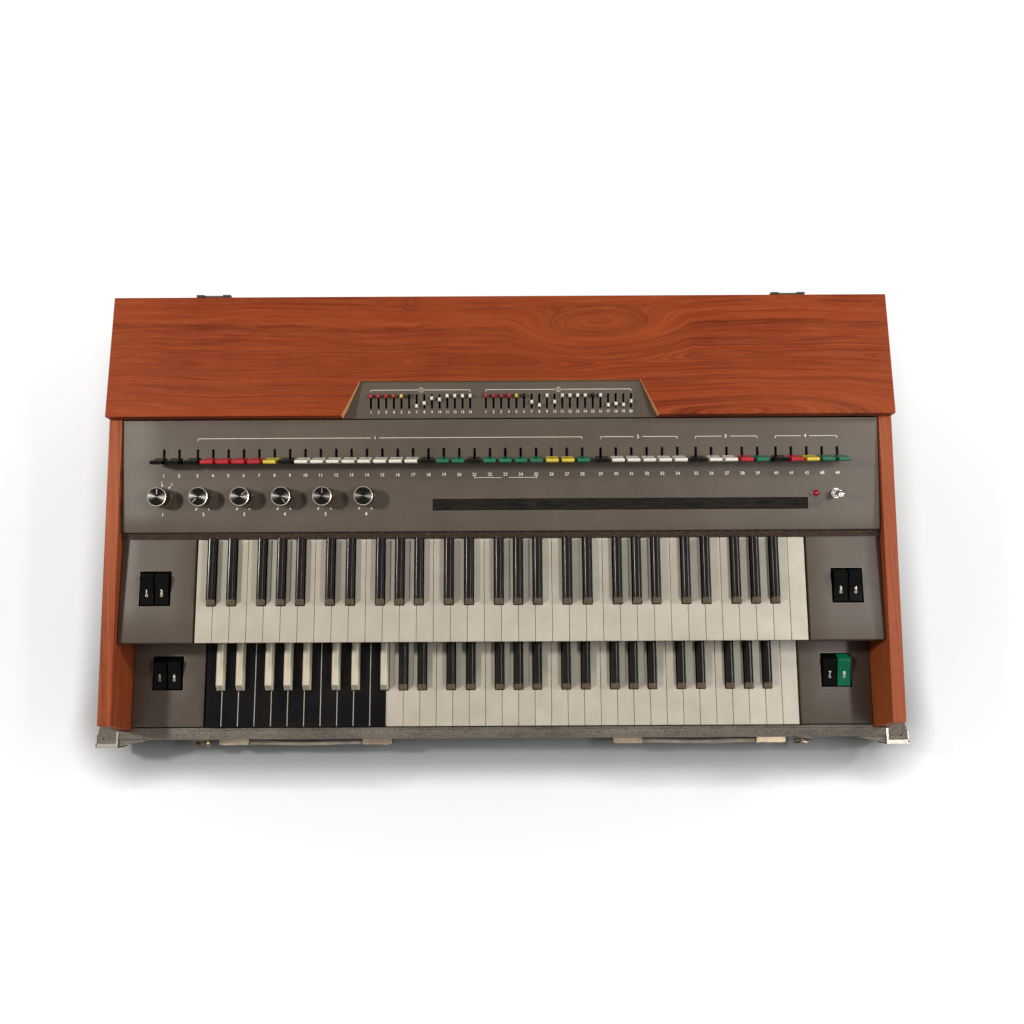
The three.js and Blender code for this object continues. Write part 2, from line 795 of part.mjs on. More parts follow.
// Cheek plate: a folded cover beside the keys, with a well that carries two rockers
function cheek(side, frontY, rearY, topZ, flange, skirt, wellY) {
  const x0 = cheekInnerX;
  const x1 = cheekOuterX;
  const cover = joined([
    block(x0, x1, frontY, rearY, topZ - sheet, topZ),
    block(x0, x1, frontY, frontY + sheet, topZ - skirt, topZ),
    block(x0, x0 + sheet, frontY, rearY, topZ - flange, topZ),
    block(x1 - sheet, x1, frontY, rearY, topZ - flange, topZ),
  ]);
  const half = wellWidth / 2;
  const deep = wellDepth / 2;
  const wall = wellWall;
  const outer = block(
    rockerX - half - wall,
    rockerX + half + wall,
    wellY - deep - wall,
    wellY + deep + wall,
    topZ - wellSink - wall,
    topZ,
  );
  const inner = block(rockerX - half, rockerX + half, wellY - deep, wellY + deep, topZ - wellSink, topZ + overrun);
  const pinZ = topZ - rockerPinDrop;
  const pin = rod(rockerPinRadius, rockerX - half - wall / 2, rockerX + half + wall / 2, wellY, pinZ, roundSteps);
  const solid = cover.add(outer).subtract(inner).add(pin);
  return side < 0 ? otherSide(solid) : solid;
}

// A rocker tablet: a creased top over a skirt, with a hub that hooks over the pin
function rocker(x0, x1, wellY, topZ) {
  const half = wellDepth / 2 - rockerEndGap;
  const pinZ = topZ - rockerPinDrop;
  const creaseY = wellY + half * (1 - 2 * rockerCreaseShare);
  const hub = rockerBore + rockerEndGap;
  const base = topZ - rockerSkirt;
  const seatArc = arcPoints(wellY, pinZ, rockerBore, 0, Math.PI, 6);
  const outline = [
    [wellY - half, base],
    [wellY - hub, base],
    [wellY - hub, pinZ - rockerHubDrop],
    [wellY - rockerBore, pinZ - rockerHubDrop],
    ...seatArc.reverse(),
    [wellY + rockerBore, pinZ - rockerHubDrop],
    [wellY + hub, pinZ - rockerHubDrop],
    [wellY + hub, base],
    [wellY + half, base],
    [wellY + half, topZ + rockerEndRise],
    [creaseY, topZ + rockerRise],
    [wellY - half, topZ + rockerEndRise],
  ];
  return profileAlongX(outline, x0, x1);
}

const cheekRows = [
  {
    row: 'upper',
    frontY: upperKeyY,
    rearY: capRearY + slipGap - seat,
    topZ: upperTopZ,
    flange: cheekFlange,
    skirt: manualRise + lowerCheekDrop - cheekTread,
    wellY: upperKeyY + upperRockerSetback,
  },
  {
    row: 'lower',
    frontY: lowerKeyY,
    rearY: upperKeyY + lowerCheekLap,
    topZ: lowerTopZ - lowerCheekDrop,
    flange: cheekFlange,
    skirt: lowerCheekSkirt,
    wellY: lowerKeyY + lowerRockerSetback,
  },
];

for (const { row, frontY, rearY, topZ, flange, skirt, wellY } of cheekRows) {
  for (const [side, hand] of [[-1, 'left'], [1, 'right']]) {
    place(`${row}_cheek_${hand}`, cheek(side, frontY, rearY, topZ, flange, skirt, wellY), colours.paint, 0.55, 0.3);
    const middle = side * rockerX;
    const half = wellWidth / 2;
    const spans = [
      ['a', middle - half + rockerSideGap, middle - rockerMiddleGap / 2],
      ['b', middle + rockerMiddleGap / 2, middle + half - rockerSideGap],
    ];
    for (const [letter, x0, x1] of spans) {
      const green = row === 'lower' && hand === 'right' && letter === 'b';
      const colour = green ? colours.green : colours.black;
      place(`${row}_rocker_${hand}_${letter}`, rocker(x0, x1, wellY, topZ), colour, 0.2, 0);
    }
  }
}

// Felt strip on its rail behind the upper keys
const slipY = capRearY + slipGap;
const keySlip = block(-cheekOuterX, cheekOuterX, slipY, slipY + slipDepth, upperTopZ - slipDrop, upperTopZ + slipRise);
place('key_slip', keySlip, colours.felt, 1, 0);

// Lever places: the banks follow one another across the panel
const bankStep = leverPitch + leverBankGap;

function leverPlaces() {
  let x = leverInset - panelHalf;
  return leverBanks.map((bank) => {
    const places = Array.from({ length: bank.count }, (_, i) => x + i * leverPitch);
    x = places.at(-1) + bankStep;
    return { ...bank, places };
  });
}

const banks = leverPlaces();
const bankEdges = [
  banks[0].places[0] - bankStep / 2,
  ...banks.map((bank) => bank.places.at(-1) + bankStep / 2),
];

// Control panel, in its own frame: v runs up the slope and w stands square to it
function controlPanel() {
  const plate = joined([
    block(-panelHalf, panelHalf, 0, panelLength, -sheet, 0),
    block(-panelHalf, panelHalf, 0, sheet, -panelFrontFlange, 0),
    block(-panelHalf, sheet - panelHalf, 0, panelLength, -panelSideFlange, 0),
    block(panelHalf - sheet, panelHalf, 0, panelLength, -panelSideFlange, 0),
  ]);
  const ears = bankEdges.map((x) => {
    const x0 = x - earThickness / 2;
    return block(x0, x0 + earThickness, slotV - earWidth / 2, slotV + earWidth / 2, -pivotDrop - earBelow, -sheet / 2);
  });
  const cuts = [];
  for (const { places } of banks) {
    for (const x of places) {
      const half = slotLength / 2;
      cuts.push(block(x - slotWidth / 2, x + slotWidth / 2, slotV - half, slotV + half, -sheet - overrun, overrun));
    }
  }
  for (let i = 0; i < knobCount; i += 1) {
    cuts.push(hole(shaftRadius + runningGap, firstKnobX + i * knobPitch, knobV));
  }
  cuts.push(hole(lampRadius + seat, lampX, lampV));
  cuts.push(switchBoreTool());
  const halfRibbon = ribbonWidth / 2 + seat;
  cuts.push(
    block(
      ribbonLeftX - seat,
      ribbonRightX + seat,
      ribbonV - halfRibbon,
      ribbonV + halfRibbon,
      -sheet - overrun,
      overrun,
    ),
  );
  for (const x of bankEdges) {
    const half = earThickness / 2 + overrun;
    cuts.push(rod(shaftBarRadius + runningGap, x - half, x + half, slotV, -pivotDrop, barSides));
  }
  return joined([plate, switchBush(), ...ears]).subtract(joined(cuts));
}

// The switch's bush and nut, clamped on the panel, and the bore that lets its lever lean
function switchBush() {
  return turned(
    [
      [0, -sheet],
      [switchNutRadius, -sheet],
      [switchNutRadius, switchNutHeight],
      [switchBushRadius, switchNutHeight],
      [switchBushRadius, switchBushHeight],
      [0, switchBushHeight],
    ],
    roundSteps,
    switchX,
    lampV,
  );
}

function switchBoreTool() {
  const throat = switchPivotLift + switchThroat;
  return turned(
    [
      [0, -sheet - overrun],
      [switchBore, -sheet - overrun],
      [switchBore, throat],
      [switchBore + seat, switchBushHeight + overrun],
      [0, switchBushHeight + overrun],
    ],
    roundSteps,
    switchX,
    lampV,
  );
}

function hole(radius, x, v) {
  return turned([[0, -sheet - overrun], [radius, -sheet - overrun], [radius, overrun], [0, overrun]], roundSteps, x, v);
}

place('control_panel', controlPanel(), colours.paint, 0.5, 0.3, controlDeck);

// One lever: a stem through its slot and a tall wedge-shaped head with a rounded lip
function lever(x) {
  const travel = slotLength / 2 - stemDepth / 2 - slotEndGap;
  const footV = slotV - travel;
  const half = stemDepth / 2;
  const stem = profileAlongX(
    [
      [slotV - half, -pivotDrop],
      [slotV + half, -pivotDrop],
      [footV + half, headRearLift + overrun],
      [footV - half, headRearLift + overrun],
    ],
    x - stemWidth / 2,
    x + stemWidth / 2,
  );
  const lipV = footV - headFront - headLean + headLip;
  const lip = arcPoints(lipV, headHeight - headLip, headLip, Math.PI / 2, Math.PI, 2);
  const head = profileAlongX(
    [[footV - headFront, headLift], [footV + headRear, headRearLift], ...lip],
    x - headWidth / 2,
    x + headWidth / 2,
  );
  return stem.add(head);
}

banks.forEach(({ name, colour, places }, i) => {
  const x0 = bankEdges[i] + runningGap;
  const x1 = bankEdges[i + 1] - runningGap;
  const bar = rod(shaftBarRadius, x0, x1, slotV, -pivotDrop, barSides);
  place(name, joined([bar, ...places.map(lever)]), colour, 0.25, 0, controlDeck);
});

// Rotary knob on its shaft: a slightly tapered body with a chamfered top
function knob(x) {
  return turned(
    [
      [0, -shaftDrop],
      [shaftRadius, -shaftDrop],
      [shaftRadius, knobLift],
      [knobRadius, knobLift],
      [knobTopRadius, knobHeight - knobChamfer],
      [knobTopRadius - knobChamfer, knobHeight],
      [0, knobHeight],
    ],
    knobSides,
    x,
    knobV,
  );
}

for (let i = 0; i < knobCount; i += 1) {
  place(`knob_${i + 1}`, knob(firstKnobX + i * knobPitch), colours.black, 0.35, 0.3, controlDeck);
}

// Ribbon strip, let in from below so that its face lies just under the panel's
function ribbonStrip() {
  const half = ribbonWidth / 2;
  const wide = half + ribbonFlange;
  const face = block(ribbonLeftX, ribbonRightX, ribbonV - half, ribbonV + half, -ribbonBody, -ribbonSink);
  const flange = block(
    ribbonLeftX - ribbonFlange,
    ribbonRightX + ribbonFlange,
    ribbonV - wide,
    ribbonV + wide,
    -ribbonBody,
    -sheet - seat,
  );
  return face.add(flange);
}

place('ribbon_strip', ribbonStrip(), colours.black, 0.9, 0, controlDeck);

const lamp = turned(
  [
    [0, -lampBody],
    [lampRadius, -lampBody],
    [lampRadius, seat],
    [lampRadius + lampFlange, seat],
    [lampRadius + lampFlange, lampFlange],
    [lampRadius, lampFlange + seat],
    [lampRadius * Math.cos(Math.PI / 6), lampFlange + lampDome / 2],
    [lampRadius / 2, lampDome + lampFlange / 2],
    [0, lampDome + lampFlange],
  ],
  roundSteps,
  lampX,
  lampV,
);
place('pilot_lamp', lamp, colours.red, 0.2, 0, controlDeck);

// The power switch's lever: a ball in the bush under a club that leans to the front
function switchLever() {
  const ball = switchBore - runningGap;
  const tipZ = switchLength - switchTipRadius;
  const lever = turned(
    [
      [0, -ball],
      ...arcPoints(0, 0, ball, -Math.PI / 3, Math.PI / 3, 4),
      [switchNeckRadius, switchThroat + ball / 2],
      ...arcPoints(0, tipZ, switchTipRadius, 0, Math.PI / 3, 2),
      [0, switchLength],
    ],
    roundSteps,
    0,
    0,
  );
  return lever
    .rotate([THREE.MathUtils.radToDeg(switchThrow), 0, 0])
    .translate([switchX, lampV, switchPivotLift]);
}

place('power_switch', switchLever(), colours.chrome, 0.15, 1, controlDeck);

// Preset panel in the notch: a slotted plate on two webs with a guide board under it
const presetDeck = new THREE.Group();
const presetFrontY = coverFrontY + presetGap;
const presetRun = notchDepth - presetGap - presetRearGap;
const presetRise = presetRearLift - presetFrontLift;
const presetLength = Math.hypot(presetRun, presetRise);
presetDeck.position.set(0, presetFrontY, upperTopZ + presetFrontLift);
presetDeck.rotation.x = Math.atan2(presetRise, presetRun);
organ.add(presetDeck);

const sliderTravel = sliderSlotLength - sliderStemDepth - sliderEndGap - seat;
const sliderZeroV = sliderSlotV + sliderSlotLength / 2 - sliderStemDepth / 2 - sliderEndGap;

// Slider places: the banks follow one another across the panel
const sliderPlaces = [];
let sliderX = sliderOffset - sliderHalf;
for (const { count } of sliderBanks) {
  const firstX = sliderX;
  sliderPlaces.push(Array.from({ length: count }, (_, i) => firstX + i * sliderPitch));
  sliderX += (count - 1) * sliderPitch + sliderBankGap;
}

function presetPanel() {
  const share = (notchFrontHalf - notchRearHalf) / notchDepth;
  const frontHalf = notchFrontHalf - presetGap * (1 + share) - presetGap;
  const rearHalf = frontHalf - share * presetRun;
  const plate = planAlongZ(
    [[-frontHalf, 0], [frontHalf, 0], [rearHalf, presetLength], [-rearHalf, presetLength]],
    -sheet,
    0,
  );
  const deep = carriageDrop + carriageThickness + seat;
  const web = [
    [0, -sheet / 2],
    [0, -deep - sheet],
    [presetLength, -deep - sheet],
    [presetLength, -carriageDrop],
    [presetLength - webSetback, -sheet / 2],
  ];
  const webs = [-guideHalf, guideHalf].map((x) => profileAlongX(web, x - sheet / 2, x + sheet / 2));
  const guide = block(-guideHalf, guideHalf, 0, presetLength, -deep - sheet, -deep);
  const cuts = [];
  const half = sliderSlotWidth / 2;
  const reach = sliderSlotLength / 2;
  for (const x of sliderPlaces.flat()) {
    cuts.push(block(x - half, x + half, sliderSlotV - reach, sliderSlotV + reach, -sheet - overrun, overrun));
  }
  return joined([plate, ...webs, guide]).subtract(joined(cuts));
}

place('preset_panel', presetPanel(), colours.paint, 0.5, 0.3, presetDeck);

// Slider caps on one carriage: a stem through each slot and a finger to a common bar
function sliderSet(places, barV) {
  const low = -carriageDrop - carriageThickness;
  const xs = places.map(({ x }) => x);
  const bar = block(
    Math.min(...xs) - sliderStemWidth,
    Math.max(...xs) + sliderStemWidth,
    barV,
    barV + carriageBar,
    low,
    -carriageDrop,
  );
  const sliders = places.map(({ x, v }) => {
    const cap = block(
      x - sliderCapWidth / 2,
      x + sliderCapWidth / 2,
      v - sliderCapDepth / 2,
      v + sliderCapDepth / 2,
      sliderCapLift,
      sliderCapHeight,
    );
    const half = sliderStemWidth / 2;
    const depth = sliderStemDepth / 2;
    const fingerEnd = barV + carriageBar / 2;
    const rearward = fingerEnd > v ? 1 : -1;
    const finger = [
      [v - rearward * depth, low],
      [fingerEnd, low],
      [fingerEnd, -carriageDrop],
      [v + rearward * depth, -carriageDrop],
      [v + rearward * depth, sliderCapLift + carriageThickness],
      [v - rearward * depth, sliderCapLift + carriageThickness],
    ];
    return cap.add(profileAlongX(rearward > 0 ? finger : finger.reverse(), x - half, x + half));
  });
  return joined([bar, ...sliders]);
}

sliderBanks.forEach(({ drawn, drawnShares }, bank) => {
  const zero = [];
  const pulled = [];
  sliderPlaces[bank].forEach((x, i) => {
    const at = drawn.indexOf(i);
    if (at < 0) {
      zero.push({ x, v: sliderZeroV });
    } else {
      pulled.push({ x, v: sliderZeroV - drawnShares[at] * sliderTravel });
    }
  });
  place(`preset_${bank + 1}_sliders_in`, sliderSet(zero, rearBarV), colours.red, 0.35, 0, presetDeck);
  place(`preset_${bank + 1}_sliders_drawn`, sliderSet(pulled, frontBarV), colours.ivory, 0.35, 0, presetDeck);
});

// Corner guard: a bent plate round the tray's upright corner, flared at its foot
function cornerGuard(side) {
  const x = trayWidth / 2 + seat;
  const y = trayFrontY - seat;
  const inner = [
    [x - guardLeg, y],
    [x, y],
    [x, y + guardLeg],
  ];
  const outer = [
    [x + guardSheet, y + guardLeg],
    [x + guardSheet + guardFlare, y - guardSheet - guardFlare / 2],
    [x - guardLeg, y - guardSheet],
  ];
  const plate = planAlongZ([...inner, ...outer].reverse(), trayHeight - guardHeight, trayHeight);
  return side < 0 ? otherSide(plate) : plate;
}

place('corner_guard_left', cornerGuard(-1), colours.chrome, 0.35, 0.9);
place('corner_guard_right', cornerGuard(1), colours.chrome, 0.35, 0.9);

// Carrying strap: flat in its end caps and bowed outwards between them
function carryingStrap(x) {
  const end = handleLength / 2 - handleCapWall - seat;
  const rear = trayFrontY - seat;
  const straight = handleLength / 2 - handleCapLength;
  const bow = strapReach - strapThickness - seat;
  const curve = (t) => bow * Math.cos((Math.PI / 2) * t) ** 2;
  const spread = Array.from({ length: strapSteps + 1 }, (_, i) => (2 * i) / strapSteps - 1);
  const inner = spread.map((t) => [x + t * straight, rear - curve(t)]);
  const outer = spread.map((t) => [x + t * straight, rear - curve(t) - strapThickness]).reverse();
  const outline = [
    [x - end, rear],
    ...inner,
    [x + end, rear],
    [x + end, rear - strapThickness],
    ...outer,
    [x - end, rear - strapThickness],
  ].reverse();
  return planAlongZ(outline, strapZ - strapWidth / 2, strapZ + strapWidth / 2);
}

place('handle_strap_left', carryingStrap(-handleX), colours.cloth, 0.7, 0);
place('handle_strap_right', carryingStrap(handleX), colours.cloth, 0.7, 0);

// Butterfly latch: a turning key with two wings and a raised grip, on a short pin
function latch(x) {
  const face = trayFrontY - latchPlateSheet - seat;
  const pin = stud(latchPinRadius, x, face - latchPinReach, face, latchZ, roundSteps);
  const y0 = face - latchPinReach - latchWingSheet;
  const grip = latchGripSheet / 2;
  const y1 = face - latchPinReach + seat;
  const waist = latchWingWidth / 4;
  const half = latchWingWidth / 2;
  const long = latchWingLength / 2;
  const wings = [
    [-long, -half],
    [-long / 2, -half],
    [0, -waist],
    [long / 2, -half],
    [long, -half],
    [long, half],
    [long / 2, half],
    [0, waist],
    [-long / 2, half],
    [-long, half],
  ];
  const plate = faceAlongY(wings.map(([u, v]) => [x + u, latchZ + v]), y0, y1);
  const ridge = block(x - long, x + long, y0 - latchGripReach, y0 + seat, latchZ - grip, latchZ + grip);
  return joined([pin, plate, ridge]);
}

place('latch_left', latch(-latchX), colours.chrome, 0.3, 1);
place('latch_right', latch(latchX), colours.chrome, 0.3, 1);

// Fixed half of a lift-off cover hinge: a leaf with two knuckles and a strip between them
function coverHinge(x) {
  const y0 = trayRearY + seat;
  const half = hingeWidth / 2;
  const z1 = trayHeight;
  const leaf = block(x - half, x + half, y0, y0 + hingeSheet, z1 - hingeLeafHeight, z1);
  const axisY = trayRearY + hingeReach - hingeRadius;
  const axisZ = z1 - hingeRadius;
  const knuckles = [-1, 1].map((side) => {
    const outerX = x + side * half;
    const innerX = outerX - side * hingeKnuckle;
    const x0 = Math.min(outerX, innerX);
    const x1 = Math.max(outerX, innerX);
    const arm = block(x0, x1, y0, axisY, axisZ - hingeRadius, axisZ + hingeRadius);
    return arm.add(rod(hingeRadius, x0, x1, axisY, axisZ, roundSteps));
  });
  const pin = rod(hingeSheet, x - half, x + half, axisY, axisZ, roundSteps);
  return joined([leaf, ...knuckles, pin]);
}

place('cover_hinge_left', coverHinge(-hingeX), colours.steel, 0.5, 0.8);
place('cover_hinge_right', coverHinge(hingeX), colours.steel, 0.5, 0.8);

// Tone board on posts, with rows of divider chips
function toneBoard() {
  const y1 = coverRearY - rearBoardInset - rearBoardThickness - innerRearGap;
  const y0 = y1 - boardDepth;
  const x0 = boardInset - caseInnerX;
  const x1 = transformerX - transformerWidth / 2 - transformerGap;
  const z0 = floorZ + boardRise;
  const z1 = z0 + boardSheet;
  const pieces = [block(x0, x1, y0, y1, z0, z1)];
  for (const x of [x0, x1 - boardPost]) {
    for (const y of [y0, y1 - boardPost]) {
      pieces.push(block(x, x + boardPost, y, y + boardPost, floorZ, z1));
    }
  }
  for (let row = 0; row < chipRows; row += 1) {
    for (let column = 0; column < chipColumns; column += 1) {
      const x = x0 + ((x1 - x0) * (column + 1 / 2)) / chipColumns;
      const y = y0 + (boardDepth * (row + 1 / 2)) / chipRows;
      const half = chipSize / 2;
      pieces.push(block(x - half, x + half, y - half / 2, y + half / 2, z1 - seat, z1 + chipHeight));
    }
  }
  return joined(pieces);
}

place('tone_board', toneBoard(), colours.board, 0.6, 0);

// Mains transformer: a laminated core with its winding standing proud at front and rear
function powerSupply() {
  const x0 = transformerX - transformerWidth / 2;
  const x1 = x0 + transformerWidth;
  const y1 = coverRearY - rearBoardInset - rearBoardThickness - innerRearGap;
  const y0 = y1 - transformerDepth;
  const core = block(x0, x1, y0 + transformerWindow, y1 - transformerWindow, floorZ, floorZ + transformerHeight);
  const winding = block(
    x0 + transformerWindow,
    x1 - transformerWindow,
    y0,
    y1,
    floorZ + transformerWindow,
    floorZ + transformerHeight - transformerWindow,
  );
  return core.add(winding);
}

place('power_supply', powerSupply(), colours.steel, 0.6, 0.5);

export default organ;
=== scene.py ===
# %% [markdown]
# # A two-manual combo organ, dressed for its portrait
# The CAD model of a portable combo organ comes in as a fixed frame: tray, wooden case, two keyboards,
# a painted control panel with tone levers, and a small panel of preset sliders in the lid's notch.
# One could model over a picture by eye. Here every piece is built from the same millimetre sizes as
# the CAD, in the same frame, so it lies where it belongs and no fitting is needed.

# %% Load the frame
import math

import bmesh
import bpy
from mathutils import Matrix, Vector


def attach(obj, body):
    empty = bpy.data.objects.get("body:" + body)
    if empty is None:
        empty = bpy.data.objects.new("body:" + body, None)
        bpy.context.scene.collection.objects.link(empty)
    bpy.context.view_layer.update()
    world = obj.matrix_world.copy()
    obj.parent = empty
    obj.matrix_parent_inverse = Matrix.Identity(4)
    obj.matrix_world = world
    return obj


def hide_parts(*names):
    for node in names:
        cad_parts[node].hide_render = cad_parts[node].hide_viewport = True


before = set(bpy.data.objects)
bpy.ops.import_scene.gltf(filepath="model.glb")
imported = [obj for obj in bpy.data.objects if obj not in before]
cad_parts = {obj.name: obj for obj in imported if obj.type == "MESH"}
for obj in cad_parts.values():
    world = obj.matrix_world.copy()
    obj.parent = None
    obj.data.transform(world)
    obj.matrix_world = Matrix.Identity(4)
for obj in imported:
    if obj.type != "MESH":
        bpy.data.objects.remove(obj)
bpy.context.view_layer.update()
mm = 0.001

# %% [markdown]
# ## The camera
# The photograph looks down on the organ from about a metre and a half, a little from the front.
# A camera could be placed by trial. This one was solved from the keys: their pitch gives the
# distance, and the way that their sides and the case's edges run together gives the tilt.
# A 35 mm lens on a 36 mm sensor fits both, with a roll of a third of a degree.

# %% Camera
camera_lens = bpy.data.cameras.new("camera")
camera_lens.lens = 35
camera_lens.sensor_width = 36
camera_lens.sensor_fit = "HORIZONTAL"
camera = bpy.data.objects.new("camera", camera_lens)
bpy.context.scene.collection.objects.link(camera)
camera_place = Matrix.Translation((0.0155, -0.2306, 1.5255))
camera_tilt = Matrix.Rotation(math.radians(9.05), 4, "X")
camera_roll = Matrix.Rotation(math.radians(-0.3), 4, "Z")
camera.matrix_world = camera_place @ camera_tilt @ camera_roll
bpy.context.scene.camera = camera
print("camera at", tuple(round(value, 3) for value in camera.matrix_world.translation))

# %% [markdown]
# ## Small tools for meshes
# Nearly all of the organ is made of outlines drawn out along an axis, turned pieces and folded sheet.
# Boxes with a bevel would do for a sketch. A loft through rings of points does for all of these forms
# alike, so it is written once, and a prism, a block and a turned piece are short cuts to it.
# Edges are rounded by a Bevel modifier, because a real edge is never sharp and catches the light.


# %% Lofts, prisms and turned pieces
def on_axis(along, a, b, t):
    return {"x": (t, a, b), "y": (a, t, b), "z": (a, b, t)}[along]


def loft(bm, rings, material=0):
    """Join rings of points in mm. A ring of one point is a tip, and the ends are capped."""
    made = [[bm.verts.new(Vector(point) * mm) for point in ring] for ring in rings]
    faces = []
    for low, high in zip(made, made[1:]):
        for i in range(max(len(low), len(high))):
            j = i + 1
            corners = (low[i % len(low)], low[j % len(low)], high[j % len(high)], high[i % len(high)])
            faces.append(bm.faces.new(list(dict.fromkeys(corners))))
    faces += [bm.faces.new(end) for end in (made[0], made[-1]) if len(end) > 2]
    for face in faces:
        face.material_index = material
    return faces


def prism(bm, outline, low, high, along="x", material=0):
    rings = [[on_axis(along, a, b, t) for a, b in outline] for t in (low, high)]
    return loft(bm, rings, material)


def block(bm, x0, x1, y0, y1, z0, z1, material=0):
    return prism(bm, [(x0, y0), (x1, y0), (x1, y1), (x0, y1)], z0, z1, "z", material)


def turned(bm, profile, a=0, b=0, sides=32, along="z", material=0):
    """Spin a [radius, distance] profile about an axis through a and b."""
    turns = [2 * math.pi * i / sides for i in range(sides)]
    rings = []
    for radius, t in profile:
        circle = [(a + radius * math.cos(turn), b + radius * math.sin(turn)) for turn in turns]
        rings.append([on_axis(along, p, q, t) for p, q in (circle if radius else [(a, b)])])
    return loft(bm, rings, material)


def rod(bm, radius, low, high, a, b, sides, along="x", material=0):
    turned(bm, [(0, low), (radius, low), (radius, high), (0, high)], a, b, sides, along, material)


def layer(outline, z):
    return [(x, y, z) for x, y in outline]


def arc(a, b, radius, start, end, steps=4):
    turns = [math.radians(start + (end - start) * i / steps) for i in range(steps + 1)]
    return [(a + radius * math.cos(turn), b + radius * math.sin(turn)) for turn in turns]


def rounded_rectangle(x0, x1, y0, y1, radius, steps=3):
    corners = [(x1 - radius, y1 - radius, 0), (x0 + radius, y1 - radius, 90)]
    corners += [(x0 + radius, y0 + radius, 180), (x1 - radius, y0 + radius, 270)]
    return [point for x, y, start in corners for point in arc(x, y, radius, start, start + 90, steps)]


# %% [markdown]
# A finished mesh becomes an object in one step: it gets its materials, its rounded edges, the body
# that it moves with and the CAD nodes that it stands for.


# %% Make a piece
def ease(piece, width, angle, segments=2, harden=True):
    """Round the edges where two faces meet at more than the angle in degrees."""
    rounding = piece.modifiers.new("rounded edges", "BEVEL")
    rounding.width = width * mm
    rounding.segments = segments
    rounding.limit_method = "ANGLE"
    rounding.angle_limit = math.radians(angle)
    rounding.harden_normals = harden


def make(name, bm, materials, body="case", nodes=(), bevel=0, steps=2, place=None):
    if place:
        bm.transform(place)
    bmesh.ops.recalc_face_normals(bm, faces=bm.faces)
    mesh = bpy.data.meshes.new(name)
    bm.to_mesh(mesh)
    bm.free()
    for material in materials:
        mesh.materials.append(material)
    mesh.polygons.foreach_set("use_smooth", [True] * len(mesh.polygons))
    piece = bpy.data.objects.new(name, mesh)
    bpy.context.scene.collection.objects.link(piece)
    if bevel:
        ease(piece, bevel, 32, steps)
    else:
        mesh.set_sharp_from_angle(angle=math.radians(35))
    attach(piece, body)
    if nodes:
        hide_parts(*nodes)
    return piece


# %% [markdown]
# ## Small tools for materials
# Materials here are all made of nodes, so they need no pictures and hold at any size. Node trees
# could be clicked together by hand. In code, a few helpers keep each material to a handful of lines:
# one adds a node, one does a sum, one turns a value into a mask and one mixes two colours.


# %% Node helpers
def feed(tree, socket, value):
    if isinstance(value, bpy.types.NodeSocket):
        tree.links.new(value, socket)
    else:
        socket.default_value = value


def add(tree, kind, *values, named=None, **settings):
    node = tree.nodes.new("ShaderNode" + kind)
    for key, value in settings.items():
        setattr(node, key, value)
    for socket, value in zip(node.inputs, values):
        if value is not None:
            feed(tree, socket, value)
    for label, value in (named or {}).items():
        feed(tree, node.inputs[label], value)
    return node


def maths(tree, operation, *values):
    return add(tree, "Math", *values, operation=operation).outputs[0]


def times(tree, value, factor):
    return maths(tree, "MULTIPLY", value, factor)


def mask(tree, value, low, high, most=1.0):
    """Nothing at low, the most at high, and a straight run between them."""
    return add(tree, "MapRange", value, low, high, 0.0, most).outputs[0]


def noise(tree, vector, scale, detail=2.0, roughness=0.5):
    named = {"Vector": vector, "Scale": scale, "Detail": detail, "Roughness": roughness}
    return add(tree, "TexNoise", named=named).outputs["Fac"]


def vectors(tree, operation, *values):
    return add(tree, "VectorMath", *values, operation=operation).outputs[0]


def stretched(tree, vector, x, y, z):
    return vectors(tree, "MULTIPLY", vector, (x, y, z))


def stretched_noise(tree, vector, x, y, z, detail=1.0, roughness=0.5):
    """A noise with its own scale along each axis, as waves to a metre."""
    return noise(tree, stretched(tree, vector, x, y, z), 1.0, detail, roughness)


def part_of(tree, vector, axis):
    return add(tree, "SeparateXYZ", vector).outputs[axis]


def shade(code):
    """A colour written as it looks on screen, as the linear values that Blender mixes."""
    parts = [int(code[i : i + 2], 16) / 255 for i in (0, 2, 4)]
    return tuple(((p + 0.055) / 1.055) ** 2.4 if p > 0.04 else p / 12.92 for p in parts) + (1.0,)


def tint(tree, factor, first, second, mode="MIX"):
    node = add(tree, "Mix", data_type="RGBA", blend_type=mode)
    # A Mix node has its factor first, and its two colours on sockets 6 and 7.
    for socket, value in ((0, factor), (6, first), (7, second)):
        feed(tree, node.inputs[socket], shade(value) if isinstance(value, str) else value)
    return node.outputs[2]


def finish(name, **sockets):
    """A material, its tree, its shader with plain values on its own sockets, and its position."""
    material = bpy.data.materials.new(name)
    material.use_nodes = True
    tree = material.node_tree
    shader = tree.nodes["Principled BSDF"]
    for label, value in sockets.items():
        shader.inputs[label.replace("_", " ")].default_value = value
    return material, tree, shader, add(tree, "TexCoord").outputs["Object"]


def coat(tree, shader, tone, roughness=None):
    """Give the shader its colour, and its roughness where that varies."""
    tree.links.new(tone, shader.inputs["Base Color"])
    if roughness is not None:
        tree.links.new(roughness, shader.inputs["Roughness"])


def relief(tree, shader, height, distance):
    bump = add(tree, "Bump", named={"Height": height, "Distance": distance * mm, "Strength": 1.0})
    tree.links.new(bump.outputs["Normal"], shader.inputs["Normal"])


# %% [markdown]
# ## Effects that several materials share
# Grain, edge wear, mottling, pebbled cloth and dust turn up in more than one finish. They could be
# copied from tree to tree. A node group with named inputs and outputs is built once and placed in each
# material with its own values, as one would keep a set of stencils.


